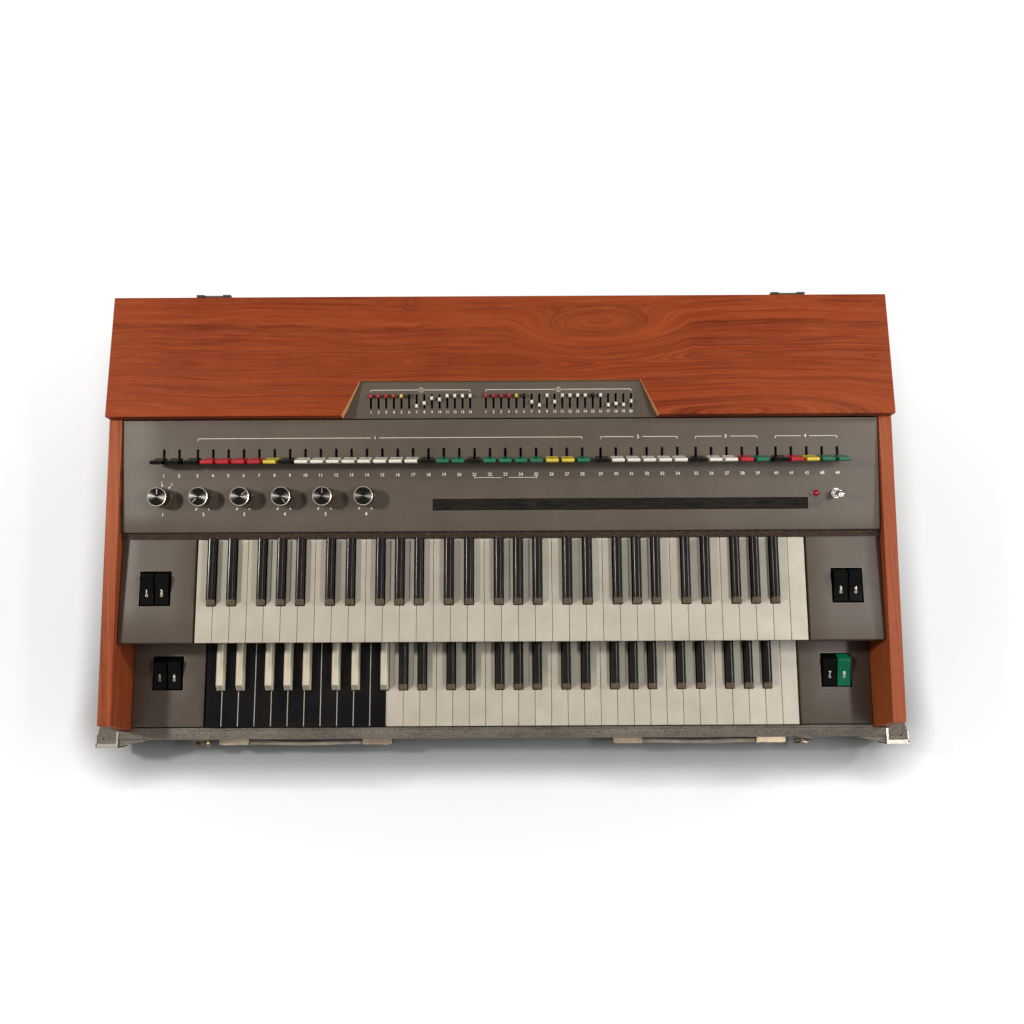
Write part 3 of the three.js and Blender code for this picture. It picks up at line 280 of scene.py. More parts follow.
# %% Group helpers
def new_group(name, numbers, results):
    """A group's tree, its position, its other inputs and its outputs."""
    tree = bpy.data.node_groups.new(name, "ShaderNodeTree")
    tree.interface.new_socket("Position", in_out="INPUT", socket_type="NodeSocketVector")
    for label, default in numbers.items():
        socket = tree.interface.new_socket(label, in_out="INPUT", socket_type="NodeSocketFloat")
        socket.default_value = default
    for label in results:
        tree.interface.new_socket(label, in_out="OUTPUT", socket_type="NodeSocketFloat")
    given = tree.nodes.new("NodeGroupInput").outputs
    return tree, given["Position"], given, tree.nodes.new("NodeGroupOutput").inputs


def effect(tree, group, **named):
    node = add(tree, "Group", node_tree=group)
    for label, value in named.items():
        feed(tree, node.inputs[label.replace("_", " ")], value)
    return node.outputs


# %% [markdown]
# **Wood figure.** A board is a cut through the cone-shaped layers of a trunk. Lines run straight
# where the cut runs along the layers, and close into arches where it leaves them. A wave texture
# gives even stripes, which look printed. Here the distance from three eyes of the figure is worked out for
# each point, and a one-dimensional noise turns this distance into rings of uneven width. Fibres and pores
# use the same distance, so that they follow the rings.

# %% Wood figure group
tree, position, given, out = new_group(
    "wood_figure", {"Arches": 1.0, "Waviness": 1.0}, ("Rings", "Streaks", "Fibres", "Pores")
)
wood_figure = tree
grain_x, grain_y, grain_z = add(tree, "SeparateXYZ", position).outputs
sway = maths(tree, "MULTIPLY_ADD", stretched_noise(tree, position, 2.2, 7.0, 7.0, 2.0), 0.04, -0.02)
shiver = maths(tree, "MULTIPLY_ADD", stretched_noise(tree, position, 9.0, 30.0, 30.0, 2.0), 0.006, -0.003)
wander = times(tree, maths(tree, "ADD", sway, shiver), given["Waviness"])
across = maths(tree, "ADD", grain_y, wander)
nearest = None
for eye_x, eye_y, reach, slant in (
    (0.14, 0.424, 0.13, 0.26),
    (0.33, 0.292, 0.22, 0.16),
    (-0.126, 0.448, 0.014, 0.6),
):
    away = maths(tree, "ABSOLUTE", maths(tree, "SUBTRACT", grain_x, eye_x))
    rise = times(tree, times(tree, maths(tree, "MINIMUM", away, reach), slant), given["Arches"])
    off = maths(tree, "SUBTRACT", across, eye_y)
    squares = maths(tree, "ADD", maths(tree, "POWER", off, 2.0), maths(tree, "POWER", rise, 2.0))
    distance = maths(tree, "SQRT", squares)
    nearest = maths(tree, "SMOOTH_MIN", nearest, distance, 0.03) if nearest is not None else distance
depth = maths(tree, "MULTIPLY_ADD", across, 0.35, nearest)
for label, rings_per_metre, detail in (("Rings", 60.0, 3.0), ("Streaks", 250.0, 2.0)):
    named = {"W": depth, "Scale": rings_per_metre, "Detail": detail}
    rings = add(tree, "TexNoise", named=named, noise_dimensions="1D").outputs["Fac"]
    tree.links.new(rings, out[label])
followed = add(tree, "CombineXYZ", grain_x, times(tree, depth, 60.0), grain_z).outputs[0]
tree.links.new(stretched_noise(tree, followed, 14.0, 14.0, 14.0, 3.0, 0.6), out["Fibres"])
dashes = stretched_noise(tree, followed, 70.0, 34.0, 70.0)
tree.links.new(mask(tree, dashes, 0.60, 0.74), out["Pores"])

# %% [markdown]
# **Edge wear.** Paint and varnish thin out first where hands and cases rub, on the edges. Painting
# a mask by hand would have to be redone for each piece. The Bevel node gives the normal as if the
# edges were rounder than they are, and where it differs from the true normal there is an edge.

# %% Edge wear group
tree, position, given, out = new_group("edge_wear", {"Radius": 0.0012, "Patches": 40.0}, ("Edge",))
edge_wear = tree
softened = add(tree, "Bevel", given["Radius"], samples=4).outputs[0]
true_normal = add(tree, "NewGeometry").outputs["Normal"]
agreement = add(tree, "VectorMath", softened, true_normal, operation="DOT_PRODUCT").outputs[1]
rubbed = mask(tree, noise(tree, position, given["Patches"]), 0.38, 0.62)
tree.links.new(mask(tree, agreement, 0.985, 0.85, rubbed), out["Edge"])


def wear(tree, position, radius, patches, most=1.0):
    """How much an edge is rubbed, with the radius in mm and the patches to a metre."""
    edge = effect(tree, edge_wear, Position=position, Radius=radius * mm, Patches=patches)["Edge"]
    return times(tree, edge, most)


# %% [markdown]
# **Mottling.** No sprayed or moulded surface is quite even: it has broad clouds of tone, a fine
# orange-peel texture and small flecks. One noise can't be broad and fine at once, so the group gives
# each as an output of its own.

# %% Mottling group
tree, position, given, out = new_group(
    "mottling", {"Cloud size": 8.0, "Grain size": 900.0}, ("Clouds", "Grain", "Flecks")
)
mottling = tree
tree.links.new(noise(tree, position, given["Cloud size"], 4.0, 0.6), out["Clouds"])
tree.links.new(noise(tree, position, given["Grain size"], 2.0, 0.6), out["Grain"])
tree.links.new(mask(tree, noise(tree, position, 320.0, 1.0), 0.72, 0.78), out["Flecks"])


def clouds(tree, position, size):
    return effect(tree, mottling, Position=position, Cloud_size=size)["Clouds"]


# %% [markdown]
# **Dust.** It settles on what faces up, in a thin haze with a few specks. The group weighs a noise
# with how far the surface faces up.

# %% Dust group
tree, position, given, out = new_group("dust", {"Amount": 0.3}, ("Dust",))
dust = tree
facing = part_of(tree, add(tree, "NewGeometry").outputs["Normal"], "Z")
haze = mask(tree, noise(tree, position, 14.0, 5.0, 0.65), 0.45, 0.8, 0.6)
specks = mask(tree, noise(tree, position, 420.0, 0.0), 0.74, 0.80)
upward = mask(tree, facing, 0.6, 1.0, given["Amount"])
tree.links.new(times(tree, maths(tree, "ADD", haze, specks), upward), out["Dust"])

# %% [markdown]
# ** Pebbled cloth.** Tray coverings are vinyl on cloth, embossed with small leathery pebbles whose tops
# are lighter than the creases. Voronoi cells make the pebbles.

# %% Pebble group
tree, position, given, out = new_group("pebbles", {"Density": 620.0}, ("Tops", "Tone"))
pebbles = tree
bent = add(tree, "TexNoise", named={"Vector": position, "Scale": 260.0}).outputs["Color"]
shifted = vectors(tree, "MULTIPLY_ADD", bent, (0.5 * mm,) * 3, position)
cells = add(tree, "TexVoronoi", named={"Vector": shifted, "Scale": given["Density"]}, feature="F1").outputs
tree.links.new(mask(tree, cells["Distance"], 0.75, 0.15), out["Tops"])
tree.links.new(add(tree, "SeparateColor", cells["Color"]).outputs[0], out["Tone"])

# %% [markdown]
# **Brushed lines.** Turned and brushed metal has fine parallel scratches. A noise stretched along the
# direction of the brush gives them.

# %% Brushed lines group
tree, position, given, out = new_group("brushed", {"Fineness": 1.0}, ("Lines",))
brushed = tree
finer = add(tree, "VectorMath", position, named={"Scale": given["Fineness"]}, operation="SCALE")
tree.links.new(stretched_noise(tree, finer.outputs[0], 30.0, 900.0, 1600.0, 3.0), out["Lines"])
print("node groups:", [group.name for group in bpy.data.node_groups])

# %% [markdown]
# ## Wood
# The lid and the sides are walnut veneer under a reddish varnish. The lid's grain runs from side to
# side and closes into arches at three places, the side panels' grain runs from front to rear. Cut
# edges show the paler wood inside. One recipe serves all boards, with other colours and directions.


# %% Wood finishes
def wood(name, order, arches, dark, middle, light, waviness=1.0, gloss=0.1, closer=1.0):
    material, tree, shader, position = finish(name, Specular_IOR_Level=gloss)
    parts = add(tree, "SeparateXYZ", position).outputs
    along, across, through = (parts[axis] for axis in order)
    across = times(tree, maths(tree, "MULTIPLY_ADD", through, 0.9, across), closer)
    grain = add(tree, "CombineXYZ", along, across, through).outputs[0]
    figure = effect(tree, wood_figure, Position=grain, Arches=arches, Waviness=waviness)
    tone = tint(tree, mask(tree, figure["Rings"], 0.42, 0.64, 0.5), middle, dark)
    edge_of_ring = maths(tree, "ABSOLUTE", maths(tree, "SUBTRACT", figure["Streaks"], 0.5))
    for factor, colour in (
        (mask(tree, edge_of_ring, 0.06, 0.0, 0.6), dark),
        (mask(tree, figure["Fibres"], 0.40, 0.78, 0.6), light),
        (times(tree, figure["Pores"], 0.35), dark),
        (mask(tree, clouds(tree, position, 5.0), 0.35, 0.75, 0.3), light),
        (wear(tree, position, 1.5, 25.0, 0.5), light),
    ):
        tone = tint(tree, factor, tone, colour)
    coat(tree, shader, tone, maths(tree, "MULTIPLY_ADD", figure["Fibres"], 0.2, 0.34))
    relief(tree, shader, maths(tree, "SUBTRACT", figure["Fibres"], figure["Pores"]), 0.05)
    return material


lid_wood = wood("walnut_lid", (0, 1, 2), 1.0, "521d0d", "913b1d", "b35a32")
side_wood = wood("walnut_side", (1, 2, 0), 0.0, "561d0c", "984120", "c4703f", 0.4, 0.13, 2.6)
edge_wood = wood("walnut_cut_edge", (0, 1, 2), 0.0, "c07a48", "e0a068", "efbe8c", 0.4)
board_wood = wood("rear_board", (0, 2, 1), 0.0, "46301f", "5f4430", "785a41", 0.6)
bed_wood = wood("key_bed_wood", (0, 2, 1), 0.0, "8a6b42", "a9845a", "c4a174", 0.6)

# %% [markdown]
# ## Paint
# The control panel, the preset panel and the cheeks are sheet steel in a taupe satin enamel. Plain
# grey would look like plastic: the real coat is slightly clouded, has an orange-peel texture, a few
# flecks, and is rubbed to bare metal along some edges.


# %% Painted steel
def paint(name, colour, darker, lighter, roughness=0.45):
    material, tree, shader, position = finish(name, Specular_IOR_Level=0.25)
    skin = effect(tree, mottling, Position=position, Cloud_size=7.0, Grain_size=1400.0)
    tone = tint(tree, mask(tree, skin["Clouds"], 0.3, 0.7), darker, colour)
    tone = tint(tree, mask(tree, skin["Grain"], 0.45, 0.75, 0.5), tone, lighter)
    tone = tint(tree, times(tree, skin["Flecks"], 0.35), tone, darker)
    tone = tint(tree, effect(tree, dust, Position=position, Amount=0.04)["Dust"], tone, "c8bfb0")
    tone = tint(tree, wear(tree, position, 1.1, 60.0, 0.35), tone, "a89d8e")
    coat(tree, shader, tone, maths(tree, "MULTIPLY_ADD", skin["Clouds"], 0.2, roughness - 0.1))
    relief(tree, shader, skin["Grain"], 0.02)
    return material


panel_paint = paint("taupe_panel", "5c5146", "51473d", "6b6054")
cheek_paint = paint("taupe_cheek", "5c5147", "50463c", "6b6055")
well_paint = paint("well_black", "191715", "131110", "24211e", 0.6)

# %% [markdown]
# ## Plastics
# Keys, rockers, levers and caps are moulded plastic. Ivory keys yellow unevenly and no two are quite
# alike, so the tone steps from key to key: the key's number comes from its place along the keyboard,
# and a white noise turns the number into a shade. Fine hairlines in the roughness show use.

# %% Moulded plastic
key_left, key_pitch, key_gap = -423.0, 23.5, 0.6


def plastic(name, colour, darker, roughness=0.22, key_tone=0.0, gloss=0.4, dusty=0.05):
    material, tree, shader, position = finish(name, Specular_IOR_Level=gloss)
    skin = clouds(tree, position, 30.0)
    tone = tint(tree, mask(tree, skin, 0.35, 0.75), colour, darker)
    if key_tone:
        from_left = maths(tree, "SUBTRACT", part_of(tree, position, "X"), key_left * mm)
        key_number = maths(tree, "FLOOR", maths(tree, "DIVIDE", from_left, key_pitch * mm))
        stepped = add(tree, "TexWhiteNoise", noise_dimensions="1D", named={"W": key_number})
        tone = tint(tree, times(tree, stepped.outputs["Value"], key_tone), tone, darker)
    tone = tint(tree, effect(tree, dust, Position=position, Amount=dusty)["Dust"], tone, "b5aa98")
    hairlines = mask(tree, stretched_noise(tree, position, 500.0, 60.0, 500.0, 2.0), 0.35, 0.8)
    coat(tree, shader, tone, maths(tree, "MULTIPLY_ADD", hairlines, roughness * 0.2, roughness * 0.9))
    relief(tree, shader, skin, 0.03)
    return material


ivory = plastic("ivory_naturals", "cbc2b1", "bbb09d", 0.26, key_tone=0.5)
ivory_sharp = plastic("ivory_sharps", "ddd3be", "cbbfa2", 0.25, key_tone=0.5)
black_natural = plastic("black_naturals", "141213", "0e0d0e", 0.3, gloss=0.05, dusty=0.04)
black_sharp = plastic("black_sharps", "1a1512", "110d0b", 0.16, gloss=0.13, dusty=0.02)
# The black sharps' sloping fronts get this lighter brown, a painted highlight where light catches the slope.
sharp_nose_painted_light = plastic("black_sharp_noses_painted_light", "7a624f", "5f4b3c", 0.2, gloss=0.6)
pale_side = plastic("pale_key_sides", "d8d0c0", "bfb5a2", 0.4)
rocker_black = plastic("rocker_black", "0c0b0b", "070707", 0.1, gloss=0.05, dusty=0.02)
rocker_green = plastic("rocker_green", "0a7050", "085f44", 0.22, gloss=0.08, dusty=0.02)
lever_colours = {
    "k": plastic("lever_black", "0f0e0e", "0a0909", 0.12, gloss=0.1, dusty=0.02),
    "w": plastic("lever_white", "f7f0e3", "ebe2d0", 0.18, gloss=0.6),
    "r": plastic("lever_red", "cb1d2b", "ac1621", 0.16, gloss=0.4),
    "y": plastic("lever_yellow", "ecd540", "d8be30", 0.18, gloss=0.6),
    "g": plastic("lever_green", "0c7c55", "096646", 0.16, gloss=0.4),
}
lever_letters = list(lever_colours)
steel_index = len(lever_letters)
print("plastics ready:", len(bpy.data.materials), "materials so far")

# %% [markdown]
# ## Metals
# Bright metal shows what is round it, so its look comes from fine scratches in the roughness and from
# tarnish, more than from its colour.


# %% Metal
def metal(name, colour, tarnish, roughness, fineness=1.0, tarnished=0.5, bare=None):
    material, tree, shader, position = finish(name, Metallic=1.0)
    lines = effect(tree, brushed, Position=position, Fineness=fineness)["Lines"]
    tone = tint(tree, mask(tree, clouds(tree, position, 60.0), 0.35, 0.7, tarnished), colour, tarnish)
    if bare:
        tone = tint(tree, wear(tree, position, 0.9, 90.0), tone, bare)
    coat(tree, shader, tone, maths(tree, "MULTIPLY_ADD", lines, 0.25, roughness - 0.1))
    relief(tree, shader, lines, 0.01)
    return material


chrome = metal("chrome", "d9d7d2", "a8a39a", 0.14, tarnished=0.3)
guard_metal = metal("guard_metal", "8f8a80", "69635a", 0.36, tarnished=0.8)
cap_metal = metal("strap_cap_metal", "9b8b77", "665443", 0.3, tarnished=0.8, bare="f0e6d2")
# The latch's bright bare edges are rubbed wear, and they also serve as painted highlights on the dark metal.
latch_wear_and_painted_highlights = metal("latch_wear_and_painted_highlights", "5d523d", "201a13", 0.22, tarnished=1.0, bare="e6dcc0")
hinge_metal = metal("hinge_metal", "5d5850", "3c3833", 0.42)
slot_dark = metal("guide_steel", "2b2926", "1a1816", 0.6)
zinc = metal("zinc_steel", "a9a9a4", "84837d", 0.45)
# The knobs' spun aluminium sides are coloured tan, a painted reflection of the taupe panel round them.
spun_side_painted_reflection = metal("knob_side_painted_reflection", "8c7b68", "54483c", 0.3, tarnished=0.8)
spun_pale = metal("pointer_inlay", "8f887b", "77705f", 0.4)
knob_rim = metal("knob_rim", "d8d0c2", "a89e8f", 0.2, tarnished=0.6)

# %% [markdown]
# ## Cloth, felt and other soft finishes
# The tray's covering is a speckled grey cloth, the straps are ribbed vinyl, and a strip of brown felt
# closes the gap behind the upper keys. Felt has no gloss at all but a sheen of loose fibres.

# %% Cloth, strap and felt
tray_cloth, tree, shader, position = finish("leather_cloth", Roughness=0.55, Sheen_Weight=0.1)
pebble = effect(tree, pebbles, Position=stretched(tree, position, 1.3, 0.7, 1.0), Density=900.0)
tone = tint(tree, pebble["Tops"], "3c352c", "7f7466")
tone = tint(tree, mask(tree, pebble["Tone"], 0.4, 1.0, 0.4), tone, "b5aa9b")
tone = tint(tree, mask(tree, clouds(tree, position, 9.0), 0.35, 0.75), tone, "6f665b", "SOFT_LIGHT")
coat(tree, shader, tint(tree, wear(tree, position, 3.0, 30.0, 0.4), tone, "b8ad9d"))
relief(tree, shader, pebble["Tops"], 0.25)

strap_vinyl, tree, shader, position = finish("strap_vinyl", Roughness=0.6, Specular_IOR_Level=0.3)
ribs = stretched_noise(tree, position, 60.0, 60.0, 2600.0)
tone = tint(tree, mask(tree, ribs, 0.35, 0.65), "9a8f80", "c0b5a4")
coat(tree, shader, tint(tree, mask(tree, clouds(tree, position, 25.0), 0.4, 0.8), tone, "887d6f"))
relief(tree, shader, ribs, 0.2)

felt, tree, shader, position = finish("brown_felt", Roughness=1.0, Sheen_Weight=0.35, Specular_IOR_Level=0.1)
fuzz = noise(tree, position, 1500.0, 4.0, 0.7)
tufts = noise(tree, position, 260.0, 3.0, 0.6)
tone = tint(tree, mask(tree, fuzz, 0.35, 0.7), "2b1d17", "4a372c")
coat(tree, shader, tint(tree, mask(tree, tufts, 0.5, 0.8), tone, "5a4638"))
relief(tree, shader, maths(tree, "ADD", fuzz, tufts), 0.5)

# %% [markdown]
# ## Small finishes
# The knobs' tops are turned black discs that show a bow-tie of light. Turned metal scatters light
# across its grooves, so the shader's own anisotropy does this, with a tangent that runs round the disc,
# and a faint bow-tie of highlight is painted into the colour, to keep it in view where no lamp stands right
# for it.
# The ribbon is a woven contact strip, the pilot lamp is red plastic with light sunk in it, and the
# panel's lines and numbers are cream print.

# %% Knob disc, ribbon, lamp and print
knob_disc, tree, shader, position = finish(
    "knob_disc", Metallic=1.0, Roughness=0.34, Anisotropic=0.97, Anisotropic_Rotation=0.25
)
around = add(tree, "Tangent", direction_type="RADIAL", axis="Z").outputs[0]
tree.links.new(around, shader.inputs["Tangent"])
stains = effect(tree, mottling, Position=position, Cloud_size=120.0)
tone = tint(tree, stains["Clouds"], "1c1b1a", "262422")
# A painted highlight: the colour is lighter to the left and right of the disc's middle, in a bow-tie.
centred = vectors(tree, "SUBTRACT", add(tree, "TexCoord").outputs["Generated"], (0.5, 0.5, 0.0))
outward = vectors(tree, "NORMALIZE", stretched(tree, centred, 1.0, 1.0, 0.0))
painted_glint = maths(tree, "POWER", maths(tree, "ABSOLUTE", part_of(tree, outward, "X")), 9.0)
tone = tint(tree, times(tree, painted_glint, 0.4), tone, "7d7973")
coat(tree, shader, tint(tree, stains["Flecks"], tone, "4a463f"))

ribbon_weave, tree, shader, position = finish("ribbon_weave", Roughness=0.7, Specular_IOR_Level=0.08)
warp = mask(tree, stretched_noise(tree, position, 50.0, 900.0, 300.0), 0.35, 0.65)
weft = stretched_noise(tree, position, 1400.0, 300.0, 300.0)
threads = maths(tree, "MULTIPLY_ADD", weft, 0.6, warp)
tone = tint(tree, mask(tree, threads, 0.2, 1.4), "0c0b0a", "2a2622")
coat(tree, shader, tint(tree, mask(tree, clouds(tree, position, 14.0), 0.55, 0.8), tone, "2c2823"))
relief(tree, shader, threads, 0.15)

lamp_red, tree, shader, position = finish(
    "lamp_red",
    Roughness=0.1,
    Specular_IOR_Level=0.3,
    Subsurface_Weight=0.2,
    Subsurface_Radius=(0.003, 0.0006, 0.0005),
)
coat(tree, shader, tint(tree, clouds(tree, position, 300.0), "6c0810", "9c121c"))

print_cream, tree, shader, position = finish("print_cream", Roughness=0.5)
coat(tree, shader, tint(tree, mask(tree, clouds(tree, position, 260.0), 0.5, 0.8), "f2ead8", "cfc4b0"))

circuit, tree, shader, position = finish("circuit_board", Roughness=0.45, Coat_Weight=0.3)
tracks = add(tree, "TexVoronoi", named={"Vector": position, "Scale": 150.0}, distance="MANHATTAN")
laid = mask(tree, tracks.outputs["Distance"], 0.5, 0.42)
coat(tree, shader, tint(tree, laid, "5d6b35", "8f8a4a"))
relief(tree, shader, laid, 0.05)
print("materials:", len(bpy.data.materials))

# %% [markdown]
# ## Places and sizes
# The sizes below are the CAD model's, in millimetres: the tray's edges, the case's walls, the two key
# tops and the two sloping decks. A deck is a small frame of its own, in which a panel lies flat, so
# its levers, knobs and print are laid out flat and tilted into place together.

# %% Sizes in millimetres
hands = ((-1, "left"), (1, "right"))
tray_half, tray_front, tray_rear = 571.5, -326.0, 319.0
wall_inner, wall_outer, floor_z = 530.0, 548.0, 12.3
panel_half, panel_front, panel_run = 529.7, -39.0, 157.54
cover_front, cover_rear, cover_thick = 119.2, 295.7, 18.0
upper_keys = {"front": -191.0, "top": 145.0}
lower_keys = {"front": -308.0, "top": 81.0}


def deck(front_y, front_z, rise, run):
    tilt = Matrix.Rotation(math.atan2(rise, run), 4, "X")
    return Matrix.Translation((0, front_y * mm, front_z * mm)) @ tilt


control_deck = deck(panel_front, 153, 13, 157)
preset_deck = deck(119.6, 166.5, 11.5, 49.1)

# %% [markdown]
# ## The tray
# The base is a shallow plywood box, covered outside in pebbled cloth that is pulled round rounded
# edges. A solid block with a hole would have hard edges. Here rings of a rounded rectangle are lofted
# up the outside, over the rim and down the inside, so the rim is round like real covered wood.

# %% Tray and its fittings
bm = bmesh.new()
tray_rings = []
for inset, z in ((9, 0), (3, 0.8), (0.8, 3), (0, 7), (0, 69), (1, 72), (3.5, 73), (21, 73), (22.8, 72)):
    half, front = tray_half - inset, tray_front + min(inset, 12.4)
    outline = rounded_rectangle(-half, half, front, tray_rear - inset, max(5 - inset / 6, 1))
    tray_rings.append(layer(outline, z))
inside = rounded_rectangle(-548.3, 548.3, tray_front + 13.2, tray_rear - 22, 1)
loft(bm, tray_rings + [layer(inside, 70), layer(inside, 12)])
make("tray_shell", bm, [tray_cloth], nodes=["base_tray"])

bm = bmesh.new()
block(bm, -529.4, 529.4, tray_front + 12.6, -309.4, 40, 72.9)
make("key_rail_cover", bm, [tray_cloth], bevel=0.8)


def screw(bm, a, b, t, radius=3.0, along="y", outward=-1):
    """A domed screw head with its edge at t, facing outward along the axis."""
    dome = [(radius * share, t + outward * rise) for share, rise in ((1, 0), (0.92, 0.7), (0.55, 1.2))]
    turned(bm, [(0, t), *dome, (0, t + outward * 1.35)], a, b, 20, along)


bm = bmesh.new()
for x in (-435.0, 435.0):
    prism(bm, rounded_rectangle(x - 13, x + 13, 24, 64, 3), tray_front - 2, tray_front + 0.2, "y")
    for z in (29.0, 59.0):
        screw(bm, x, z, tray_front - 2, 2.4)
make("latch_plates", bm, [hinge_metal], bevel=0.5)

# %% [markdown]
# Folded steel guards protect the tray's front corners. Each wraps round the corner and is held by
# four domed screws. A shoe of thin strips bends out over its top, and cloth fills the space behind.

# %% Corner guards
corner_x, corner_y = tray_half + 0.3, tray_front - 0.3


def at_corner(side, *points):
    """Plan points that are given from the tray's front corner."""
    return [(side * (corner_x + x), corner_y + y) for x, y in points]


guard_inside = ((-42, 0), (-2, 0), (0, 2), (0, 42))
guard_outside = ((1.6, 42), (2.2, -1.2), (-42, -1.6))
shoe_strips = (
    (-24.4, -21, -10.4, 12, 64, 74),
    (-24.2, 8.3, -10.4, -4.4, 38, 72),
    (6.3, 8.3, -8.8, 8, 38, 72),
)
filling = ((-0.9, 40), (6.6, 8), (6.6, -8.8), (-22.6, -8.8), (-22.6, 0.9), (-0.9, 0.9))
for side, hand in hands:
    bm = bmesh.new()
    prism(bm, at_corner(side, *guard_inside, *guard_outside), 7, 66, "z")
    for x0, x1, y0, y1, z0, z1 in shoe_strips:
        ends = sorted((side * (corner_x + x0), side * (corner_x + x1)))
        block(bm, *ends, corner_y + y0, corner_y + y1, z0, z1)
    for front_z, side_z in ((18.0, 18.0), (30.0, 62.0)):
        screw(bm, side * (corner_x - 32), front_z, corner_y - 1.5, 2.6)
        screw(bm, corner_y + 32, side_z, side * (corner_x + 1.6), 2.6, "x", side)
    guard = "corner_guard_" + hand
    make("guard_" + hand, bm, [guard_metal], nodes=[guard], bevel=0.6)
    bm = bmesh.new()
    prism(bm, at_corner(side, (-24, 0.2), (-24, -8.6), (-64, -0.8), (-64, 0.2)), 38, 71.5, "z")
    prism(bm, at_corner(side, *filling), 38, 71.4, "z")
    make("guard_skirt_" + hand, bm, [tray_cloth], bevel=0.8)

# %% [markdown]
# The carrying straps are ribbed vinyl, bowed away from the tray and held in steel caps. The caps are
# blocks with a rounded outer end. The strap is one band that follows the CAD's curve, and a thin
# tongue at each end runs on into its cap, with room for the strap's few millimetres of give.

# %% Carrying straps and their caps
strap_z0, strap_z1 = 28.4, 47.6
cap_front = tray_front - 9
bm = bmesh.new()
for x in (-285.0, 285.0):
    for end in (-1, 1):
        outer, inner = x + end * 124.5, x + end * 82.5
        corner = arc(outer - end * 3, cap_front + 3, 3, 270, 270 + end * 90, 3)
        outline = [(inner, cap_front), (outer - end * 4, cap_front), *corner]
        outline += [(outer, tray_front + 0.2), (inner, tray_front + 0.2), (inner, cap_front + 5.6)]
        prism(bm, outline, 25, 51, "z")
        for z in (30.0, 46.0):
            screw(bm, outer - end * 8, z, cap_front, 1.8)
make("strap_caps", bm, [cap_metal], bevel=0.8)

for side, hand in hands:
    x = side * 285.0
    bm = bmesh.new()
    rings = []
    for i in range(41):
        t = i / 20 - 1
        y = tray_front - 4.4 - 1.6 * math.cos(math.pi / 2 * t) ** 2
        section = rounded_rectangle(y - 4.4, y + 1.6, strap_z0, strap_z1, 1.8, 3)
        rings.append([(x + t * 82.3, p, q) for p, q in section])
    loft(bm, rings)
    tongue = rounded_rectangle(tray_front - 4.8, tray_front - 2.6, strap_z0, strap_z1, 1.0, 2)
    for end in (-1, 1):
        prism(bm, tongue, x + end * 82.0, x + end * 122.0, "x")
    strap = "handle_strap_" + hand
    make("strap_" + hand, bm, [strap_vinyl], strap, [strap])

# %% [markdown]
# Butterfly latches hold the transport cover. A turning key with two wings stands on a short pin. The
# wings are one plan outline with rounded lobes, and a ridge across them is the grip.

# %% Latches
face, latch_z = tray_front - 2.3, 44
wings = [*arc(8.6, 0, 3.4, -70, 70, 4), (6.2, 5.2), (0, 2.9), (-6.2, 5.2)]
wings += [*arc(-8.6, 0, 3.4, 110, 250, 4), (-6.2, -5.2), (0, -2.9), (6.2, -5.2)]
post = [(0, face), (5, face), (5, face - 1.4), (4, face - 2.6), (0, face - 2.6)]
lobe = [(0, face - 8.2), (2.2, face - 8.0), (2.6, face - 6.8), (2.4, face - 5.2), (0, face - 5.2)]
for side, hand in hands:
    x = side * 435.0
    bm = bmesh.new()
    prism(bm, [(x + p, latch_z + q) for p, q in wings], face - 5.5, face - 2.3, "y")
    turned(bm, post, x, latch_z, 24, "y")
    prism(bm, rounded_rectangle(x - 11, x + 11, 42.8, 45.2, 1), face - 8.5, face - 5.2, "y")
    for end in (-1, 1):
        turned(bm, lobe, x + end * 9, latch_z, 16, "y")
    latch = "latch_" + hand
    make("butterfly_" + hand, bm, [latch_wear_and_painted_highlights], latch, [latch], bevel=0.5)

# %% [markdown]
# At the rear, the halves of two lift-off hinges carry the transport cover: a leaf on the tray, two
# round knuckles and a thin bar between them.

# %% Cover hinges
leaf_y, pin_y, hook_y = tray_rear + 0.3, tray_rear + 11, tray_rear + 17.8
knuckle = [(leaf_y, 59), (pin_y, 59), *arc(pin_y, 66, 7, -90, 90, 8), (leaf_y, 73)]
hook = [(tray_rear + 13.5, 66), (hook_y, 66), (hook_y, 81), (tray_rear + 14.5, 82)]
for side, hand in hands:
    bm = bmesh.new()
    x = side * 437.0
    prism(bm, rounded_rectangle(x - 26, x + 26, 29, 73, 2.5), leaf_y, leaf_y + 3, "y")
    for end in (-1, 1):
        ends = sorted((x + end * 14, x + end * 26))
        prism(bm, knuckle, *ends, "x")
        screw(bm, x + end * 18, 37.0, leaf_y + 3, 2.6, "y", 1)
        prism(bm, hook, *ends, "x")
    rod(bm, 3, x - 25.9, x + 25.9, pin_y, 66, 24)
    block(bm, x - 15, x + 15, tray_rear + 14.5, tray_rear + 17.2, 62, 79)
    hinge = ["cover_hinge_" + hand]
    make("lift_off_hinge_" + hand, bm, [hinge_metal], nodes=hinge, bevel=0.6)
print("tray and fittings done")

# %% [markdown]
# ## The wooden case
# Two side panels slope up to the rear, and a lid with a trapezoid notch closes the case. Each is one
# board: its outline is drawn out by its thickness and its edges are eased. The notch's cut edges get
# the paler finish, face by face.

# %% Side panels
for side, hand in hands:
    bm = bmesh.new()
    outline = [(-312.2, floor_z), (cover_rear, floor_z), (cover_rear, 157.7), (118.9, 166.7)]
    outline += [(118.9, 168.0), (-302.2, 150.0), (-312.2, 73.0)]
    prism(bm, outline, *sorted((side * wall_inner, side * wall_outer)), "x")
    make("side_" + hand, bm, [side_wood], nodes=["side_panel_" + hand], bevel=1.1, steps=3)

